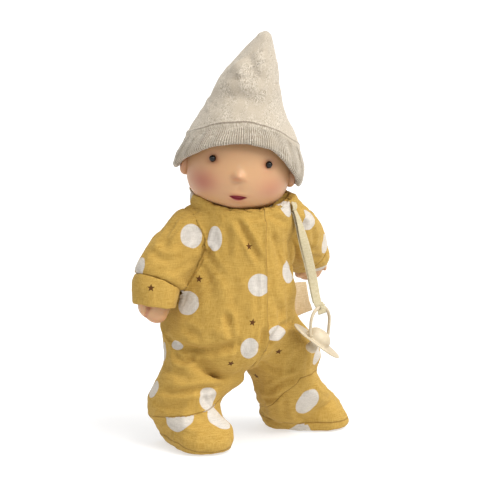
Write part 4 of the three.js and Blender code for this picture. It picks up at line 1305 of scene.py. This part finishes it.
ARM_SHIFTS = [
    (193, 208, -2, -3.5), (188.4, 213, -4.1, -5.1), (171.8, 224, -3.4, -3.2), (157, 239, -2.9, -2.6),
    (151.4, 250, -4.8, -2.6), (146, 260, -4.7, -1.7), (139, 279, -5.5, 0), (134, 295, -1.7, 0), (134.8, 304, -0.8, 0),
    (175, 250, -1.5, -1), (203, 240, 0, 0), (199, 256, 0, 0), (188, 280, -4, 0), (185.6, 291, -3.5, 0),
    (180, 307, -3, 0), (160, 290, -0.8, 0), (152, 320, 0, 0), (297, 199, 0, 0), (304, 209, 1.5, -1.5),
    (317, 228, 2, -2), (319.6, 216, -3, 2.6), (328.8, 231.7, -5.3, 3), (333.5, 254, -4.5, 1.1), (332.5, 263, -3.2, 0),
    (327, 268.7, -1.5, 0), (310, 240, -2, 1), (305, 273, 0, 0), (293.8, 266, 0, 7), (298, 230, 0, 0),
]
body_shift, arm_shift = shift_field(BODY_SHIFTS, 15), shift_field(ARM_SHIFTS, 14)


def to_outline(made, whole_arm):
    points = coords(made)
    seen, local = screen(points), to_body(points)
    arm = np.ones(len(points))
    if not whole_arm:
        arm = smoothstep(-8, 8, np.maximum(sleeve_field(local, "right"), sleeve_field(local, "left")))
    moves = body_shift(seen) * (1 - arm)[:, None] + arm_shift(seen) * arm[:, None]
    points = moved_in_picture(points, moves)
    if made in (right_half, left_half):
        # The soles are flat to their edges
        points[:, 2] = np.interp(points[:, 2], [0, 0.002, 0.006, 0.012, 0.02, 1], [0, 0.0003, 0.002, 0.0095, 0.02, 1])
    points[:, 2] = np.maximum(points[:, 2], 0)
    set_coords(made, points)


unshifted = {made.name: to_body(coords(made)) for made in (right_half, left_half)}
for made in romper:
    to_outline(made, False)
for made in (*cuffs, *hands):
    to_outline(made, True)


# Folds that the photograph shows, for each piece: width and depth in millimetres, then the pixels of the line
FOLDS = {
    "romper_right_half": [
        (2.7, 3, 236, 216, 241, 226, 249, 241, 261, 264), (3, 1.4, 222, 222, 228, 238, 228, 258),
        (3.2, 3, 205, 246, 212, 262, 224, 278), (4.2, 1.6, 203, 262, 210, 284, 214, 306),
        (2.8, 2.2, 225, 311, 229, 326, 231, 340), (3.4, 3.2, 182, 345, 197, 350.5, 212, 351, 227, 347.5, 241, 342),
        (2.6, 2, 173, 347, 175.5, 355.5, 183, 361, 191, 358, 193, 352), (4.6, 1.6, 196, 356, 204, 367, 219, 376),
        (4.2, -1.4, 166, 326, 174, 335, 185, 341, 198, 342), (3, 1.3, 181, 325, 194, 333, 202, 337),
        (2.6, 2.2, 157, 390, 178, 392, 198, 390, 224, 387), (3.6, 1.4, 163, 366, 178, 374, 192, 378),
        (2.8, 1.3, 152, 402, 170, 408, 190, 404), (3.4, 1.2, 160, 436, 176, 432, 192, 438),
        (2.6, 2.6, 265, 327, 262, 340, 258, 352), (4.6, 1.2, 236, 276, 233, 296, 238, 314),
        (5, -1.4, 210, 330, 224, 334, 240, 330),
    ],
    "romper_left_half": [
        (3, 1.6, 270, 232, 278, 248, 281, 268), (3.8, 1.4, 272, 296, 280, 312, 279, 330),
        (2.6, 1.6, 260, 362, 274, 369, 292, 370), (2.6, 2, 268, 392, 284, 382, 302, 376),
        (2.6, 3, 294, 320, 284, 325, 274, 335, 266, 343), (3.6, 1.4, 300, 352, 292, 362, 290, 374),
        (2.4, 1.4, 263, 400, 276, 398, 288, 390), (2.6, 1.4, 318, 386, 308, 388, 300, 396),
        (2.6, 1.2, 268, 212, 280, 220, 289, 224), (2.6, 2, 268, 328, 265, 341, 259, 354),
        (2.8, 1.2, 296, 410, 300, 418, 310, 420), (2.4, 1, 285, 396, 284, 408, 286, 418),
        (2.6, 1.8, 257, 354, 268, 347, 283, 346), (3.2, 2.4, 290, 236, 290, 256, 292, 274),
    ],
    "sleeve_right": [
        (3.6, 1.6, 199, 226, 186, 240, 168, 250), (3.4, 1.6, 200, 240, 184, 256, 160, 264),
        (3.2, 1.4, 196, 256, 178, 268, 155, 272), (3.6, 1.2, 176, 222, 166, 238, 163, 252),
        (2.4, 1.6, 199, 218, 204, 228, 206, 238), (3, 1, 150, 250, 160, 258, 172, 262),
    ],
    "sleeve_left": [
        (2.8, 1.6, 300, 214, 304, 228, 303, 244), (2.6, 1.8, 296, 232, 304, 246, 318, 252),
        (2.4, 1.6, 296, 248, 308, 256, 322, 258), (2.8, 1.2, 312, 224, 314, 240, 310, 250),
        (3.6, 2.4, 293, 234, 295, 254, 300, 270),
    ],
}


def relaxed(made, spot, reach):
    """Evens out the cloth about a pixel: each point moves toward the middle of its neighbours."""
    points = coords(made)
    middle = np.array(cast(surface_tree(made), *spot))
    weight = 0.5 * np.exp(-(np.linalg.norm(points - middle, axis=1) / reach) ** 4)
    ends = np.array([edge.vertices[:] for edge in made.data.edges])
    ends = ends[(weight[ends] > 0.001).any(axis=1)]
    count = np.maximum(np.bincount(ends.ravel(), minlength=len(points)), 1)
    for _ in range(40):
        for axis in range(3):
            total = np.bincount(ends[:, 0], points[ends[:, 1], axis], len(points))
            total += np.bincount(ends[:, 1], points[ends[:, 0], axis], len(points))
            points[:, axis] += np.where(weight > 0.001, (total / count - points[:, axis]) * weight, 0)
    set_coords(made, points)


for spot, reach in (((184, 352), 0.014), ((208, 372), 0.016), ((218, 375), 0.013)):
    relaxed(right_half, spot, reach)
for made in romper:
    strokes = [(on_surface(made, np.reshape(line, (-1, 2))), width, depth) for width, depth, *line in FOLDS[made.name]]
    pressed(made, strokes, 0.45)
    rippled(made, (0.0004, 0.02, 31), (0.00025, 0.009, 32))


# Print: for each piece the pixels of its dots, with their stretch where it isn't one, and of its stars
DOT = 9.1
STAR = 3.3
DOTS = {
    "sleeve_right": [(191.2, 236.2, 0.95, 1.05), (138, 266.5, 0.85, 0.85)],
    "romper_right_half": [
        (215, 238.5, 0.66, 1.1), (187.5, 303, 1.25, 1.05), (259, 285), (249.8, 348.8, 0.82, 0.98),
        (164.5, 351.5, 0.5, 0.85), (177.5, 345, 0.62, 0.42), (153.5, 389, 0.8, 0.8), (208.2, 398.4, 0.95, 0.9),
        (178, 418, 1.35, 1.2), (219.3, 418, 1, 1.25),
    ],
    "romper_left_half": [
        (288.4, 272, 0.66, 1), (283.8, 204, 0.72, 1.05), (275.6, 333, 1, 0.68), (318, 355.3, 0.75, 0.9),
        (254.5, 362, 0.45, 0.75), (307.8, 403, 1.08, 1.45), (300.8, 434.5, 1.1, 1),
    ],
    "sleeve_left": [(308.3, 219.2, 0.92, 0.92), (325, 243.6, 1, 0.85)],
    "neck_band": [(192, 191.5, 0.6, 0.75)],
    "turned_cuff_left": [(317.5, 271, 0.9, 0.8)],
}
STARS = {
    "romper_right_half": [(199, 279), (249, 246.5), (252.6, 322.5), (231, 363.6)],
    "romper_left_half": [(278.5, 351.5), (256.3, 376)],
    "turned_cuff_right": [(151, 288)],
}
FAR = 80


def print_spots(made, chance):
    """Places of the dots and stars on a piece: where the photograph shows them, and spread evenly elsewhere."""
    tree = surface_tree(made)
    points, outward = coords(made), normals(made)
    from_camera = points - np.array(camera.location)
    visible = np.einsum("ij,ij->i", -unit(from_camera), outward) > 0.12

    def seat(px, py):
        place = cast(tree, px, py)
        if place is not None:
            return np.array(place)
        direction = np.array(ray_of(px, py))
        reach = from_camera @ direction
        return points[np.argmin(np.linalg.norm(from_camera - reach[:, None] * direction, axis=1))]

    stars = [seat(*mark) for mark in STARS.get(made.name, [])]
    dots = [seat(*mark[:2]) for mark in DOTS.get(made.name, [])]
    # Hidden sides: open places far enough from each other and from what shows
    shown = point_tree(points[visible])
    order = []
    for i in chance.permutation(len(points))[:4000]:
        covered = tree.ray_cast(Vector(points[i] + outward[i] * 0.001), Vector(outward[i]), 0.05)[0] is not None
        if not visible[i] and not covered:
            order.append((points[i], shown.find(points[i])[2]))
    for place, away in order:
        if away > 0.0105 and all(np.linalg.norm(place - dot) > 0.036 for dot in dots):
            dots.append(place)
    for place, away in order[::-1]:
        clear = away > 0.005 and all(np.linalg.norm(place - dot) > 0.017 for dot in dots)
        if clear and all(np.linalg.norm(place - star) > 0.03 for star in stars):
            stars.append(place)
    return dots, stars


def local_print(made, places, reach, limits, turn=0.0, stretches=()):
    """For each vertex, its place in the plane of the nearest mark, and its distance from that mark."""
    points, outward = coords(made), normals(made)
    best = np.full(len(points), FAR / 1000)
    flat = np.tile([FAR, 0.0, FAR], (len(points), 1))
    field_values = [field(unshifted[made.name]) for field in limits]
    for number, place in enumerate(places):
        away = np.linalg.norm(points - place, axis=1)
        near = away < np.minimum(best, reach)
        seat = np.argmin(away)
        normal = unit(outward[np.argsort(away)[:30]].mean(axis=0))
        near &= outward @ normal > 0.2
        for values in field_values:
            near &= np.sign(values) == np.sign(values[seat])
        side = np.cross([0, 0, 1.0], normal)
        side = unit(side if np.linalg.norm(side) >= 0.2 else np.array([1.0, 0, 0]))
        rise = np.cross(normal, side)
        angle = turn * number * 2.399
        side, rise = side * math.cos(angle) + rise * math.sin(angle), rise * math.cos(angle) - side * math.sin(angle)
        across, up = stretches[number] if number < len(stretches) else (1, 1)
        best[near] = away[near]
        flat[near, 0] = (points[near] - place) @ side * 1000 / across
        flat[near, 1] = (points[near] - place) @ rise * 1000 / up
        flat[near, 2] = away[near] * 1000 / max(across, up)
    return flat


LIMITS = {"romper_right_half": [ankle_right, sole_right], "romper_left_half": [ankle_left, sole_left]}
NO_SEAM = 50.0
for number, made in enumerate([*romper, *cuffs, collar]):
    limits = LIMITS.get(made.name, [])
    dots, stars = print_spots(made, np.random.default_rng(100 + number))
    stretches = [tuple(mark[2:]) or (1, 1) for mark in DOTS.get(made.name, [])]
    set_attribute(made, "dot", local_print(made, dots, 0.02, limits, stretches=stretches))
    set_attribute(made, "star", local_print(made, stars, 0.012, limits, 1.0))
    set_attribute(made, "place", coords(made) * 1000)
    fields = [np.full(len(coords(made)), NO_SEAM)] * 3
    if limits:
        local = unshifted[made.name]
        closure = np.abs(middle_field(local)) * 1.6 + NO_SEAM * (local[:, 1] > 0)
        fields = [limits[0](local), limits[1](local), closure]
    for letter, values in zip("abc", fields):
        set_attribute(made, f"seam_{letter}", values)


def linen_material():
    made = Shader("printed_linen")
    place = made.attribute("place", "Vector")
    # Weave: threads along and across, uneven as linen is
    warp = made.noise(place, 1.0, 3, 0.6, stretch=(1.9, 1.9, 0.16))
    weft = made.noise(place, 1.0, 3, 0.6, stretch=(0.16, 0.16, 1.9))
    fine = made.noise(place, 3.2, 2, 0.6)
    cloudy = made.noise(place, 0.035, 3, 0.6)
    threads = made.add(made.times(warp, 0.5), made.times(weft, 0.5))
    colour = made.mix(made.ramp(threads, 0.32, 0.68), linear(161, 125, 53), linear(192, 158, 83))
    colour = made.mix(made.times(made.ramp(cloudy, 0.35, 0.7), 0.35), colour, linear(178, 142, 68))
    # Dots: a circle round each centre, with the weave in its edge
    dot = made.parts("dot")
    around = made.add(made.span(dot), made.times(made.math("SUBTRACT", fine, 0.5), 0.5))
    inside = made.times(made.ramp(around, DOT + 0.25, DOT - 0.25), made.ramp(dot[2], DOT + 3.2, DOT + 2.2))
    white = made.mix(made.ramp(threads, 0.34, 0.66), linear(185, 178, 168), linear(208, 201, 192))
    colour = made.mix(inside, colour, white)
    # Stars: five points; the edge from a point to a notch is a straight line in each tenth
    star = made.parts("star")
    span = made.span(star)
    tenth, notch = math.pi / 5, 0.45
    folded = made.math("PINGPONG", made.math("ARCTAN2", star[0], star[1]), tenth)
    edge = unit(np.array([notch * math.cos(tenth) - 1, notch * math.sin(tenth)]))
    past = made.math("SUBTRACT", made.times(span, made.math("COSINE", folded)), STAR)
    out = made.add(made.times(past, float(edge[1])),
                   made.times(made.times(span, made.math("SINE", folded)), float(-edge[0])))
    in_star = made.times(made.ramp(out, 0.12, -0.12), made.ramp(star[2], STAR + 2.6, STAR + 1.6))
    colour = made.mix(in_star, colour, linear(84, 49, 18))
    # Sewn lines: a groove in the bump, and painted shade that darkens the cloth along it
    groove = 0.0
    for letter in "abc":
        near = made.ramp(made.math("ABSOLUTE", made.attribute(f"seam_{letter}")), 0.75, 0.1)
        groove = made.math("MAXIMUM", groove, near)
    colour = made.mix(made.times(groove, 0.55), colour, linear(120, 84, 30))
    height = made.math("SUBTRACT", made.add(threads, made.times(fine, 0.25)), made.times(groove, 2.2))
    made.set(Base_Color=colour, Roughness=0.9, Normal=made.bump(height, 0.6, 0.00045), Sheen_Weight=0.18,
             Sheen_Roughness=0.5, Sheen_Tint=linear(240, 214, 150), Specular_IOR_Level=0.2)
    return made.material


def underlayer():
    """The stuffed body just under the romper, which closes the view into an armhole when an arm is up."""
    made = joined_nodes("stuffed_body", "torso_body")
    # Fills the armholes behind the limbs
    add_balls(made.data, [((side * 31.0, 0, 157), (9, 17, 21)) for side in (-1, 1)], lambda spot: spot, (40, 24))
    local = to_body(coords(made))
    armhole = smoothstep(26, 33, np.abs(local[:, 0]))
    armhole *= smoothstep(96, 112, local[:, 2]) * smoothstep(182, 168, local[:, 2])
    swell(made, 0.0037 * armhole - 0.0024)
    count = len(local)
    for name in ("dot", "star"):
        set_attribute(made, name, np.tile([FAR, 0.0, FAR], (count, 1)))
    for letter in "abc":
        set_attribute(made, f"seam_{letter}", np.full(count, NO_SEAM))
    set_attribute(made, "place", coords(made) * 1000)
    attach(made, "torso")
    return made


linen = linen_material()
for made in romper:
    rolled_borders(made)
give(linen, *romper, *cuffs, collar, underlayer())
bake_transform(right_half)
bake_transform(left_half)
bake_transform(right_sleeve)
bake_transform(left_sleeve)
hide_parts("torso_body", "romper_front_right", "romper_back_right", "right_trouser",
            "right_leg", "right_foot_upper", "right_sole", "placket")
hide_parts("romper_front_left", "romper_back_left", "left_trouser", "left_leg",
            "left_foot_upper", "left_sole")
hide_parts("right_sleeve", "right_arm")
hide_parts("left_sleeve", "left_arm")


# Small parts
def tag_part():
    """A bare folded tape held in the left side seam, with a soft curl."""
    rows, columns = 60, 44
    points = []
    for down in np.linspace(0, 1, rows):
        z = 126 - 29 * down
        seam = np.interp(z, TORSO_Z, TORSO_X + TORSO_W) - 0.3
        for turn in turns(columns):
            out = 7.2 * (bulged(math.cos(turn), 0.25) + 1)
            thick = 0.42 * bulged(math.sin(turn), 0.6)
            share = out / 14.4
            curl = 1.6 * math.sin(share * 2.2 + down * 1.4) - 2.4 * down * share ** 2
            points.append((seam + out, curl + thick - 1.5, z + 0.45 * out * down))
    made = new_object("side_tape", from_body(points), grid_faces(rows, columns, ends=True))
    outward_faces(made)
    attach(made, "torso")
    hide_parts("side_tag")
    return made


def tack_part():
    """The ribbon's end, turned under and sewn to the collar."""
    start, end = from_body([33.6, -22.7, 196.6]) * 1000 - SHIFT, ROUTE[0] + np.array([-0.6, 0.9, -0.5])
    path = curve_points([start, (start + end) / 2 + np.array([0.7, -0.9, 0]), end], 26)
    made = strip("ribbon_end", path, np.tile([0.45, 0.85, 0.1], (26, 1)), 2.9, 0.7, sides=16)
    outward_faces(made)
    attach(made, "torso")
    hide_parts("ribbon_tack")
    return made


def cloth_material(name, low, high, pitch, depth, rough):
    """A plain woven cloth in two near colours."""
    made = Shader(name)
    place = made.scaled(made.own_place(), (1000, 1000, 1000))
    warp = made.noise(place, 1.0, 2, 0.6, stretch=(pitch, pitch, 0.2))
    weft = made.noise(place, 1.0, 2, 0.6, stretch=(0.3, 0.3, pitch))
    threads = made.add(made.times(warp, 0.4), made.times(weft, 0.6))
    made.set(Base_Color=made.mix(made.ramp(threads, 0.35, 0.65), linear(*low), linear(*high)), Roughness=rough,
             Normal=made.bump(threads, 0.5, depth), Sheen_Weight=0.2, Specular_IOR_Level=0.25)
    return made.material


def moulded_material(name, low, high, rough):
    """Matte moulded plastic with a faint mottle."""
    made = Shader(name)
    place = made.own_place()
    fine = made.noise(place, 1800, 3, 0.6)
    made.set(Base_Color=made.mix(made.ramp(made.noise(place, 60, 3, 0.6), 0.3, 0.7), linear(*low), linear(*high)),
             Roughness=made.add(made.times(fine, 0.15), rough - 0.07),
             Normal=made.bump(fine, 0.15, 0.0001), Subsurface_Weight=0.15,
             Subsurface_Radius=(0.6, 0.5, 0.4), Subsurface_Scale=0.003)
    return made.material


def steel_material():
    made = Shader("pressed_steel")
    grain = made.noise(made.own_place(), 900, 3, 0.6)
    made.set(Base_Color=made.mix(grain, linear(150, 152, 155), linear(205, 206, 208)), Metallic=1.0,
             Roughness=made.add(made.times(grain, 0.2), 0.25))
    return made.material


tag = tag_part()
ribbon_end = tack_part()
give(cloth_material("bare_cotton_tape", (196, 173, 135), (216, 196, 162), 1.6, 0.0002, 0.9), tag)
give(cloth_material("ecru_ribbon", (176, 164, 130), (195, 183, 152), 1.9, 0.00025, 0.7),
     ribbon, second_strand, loop, ribbon_end)
give(moulded_material("matte_cream", (184, 168, 140), (196, 182, 156), 0.5), shield, dome, hoop)
give(moulded_material("soft_teat", (190, 173, 144), (202, 187, 160), 0.4), teat)
give(steel_material(), *(frame["nodes"][f"press_stud_{number}"] for number in (1, 2, 3)))

# Floor
floor_mesh = bpy.data.meshes.new("floor")
floor_mesh.from_pydata([(-6, -6, 0), (6, -6, 0), (6, 9, 0), (-6, 9, 0)], [], [(0, 1, 2, 3)])
floor = linked("floor", floor_mesh)
pale = Shader("pale_floor")
pale.set(Base_Color=linear(178, 178, 178), Roughness=0.9, Specular_IOR_Level=0.0,
         Emission_Color=(1, 1, 1, 1), Emission_Strength=0.6)
give(pale.material, floor)
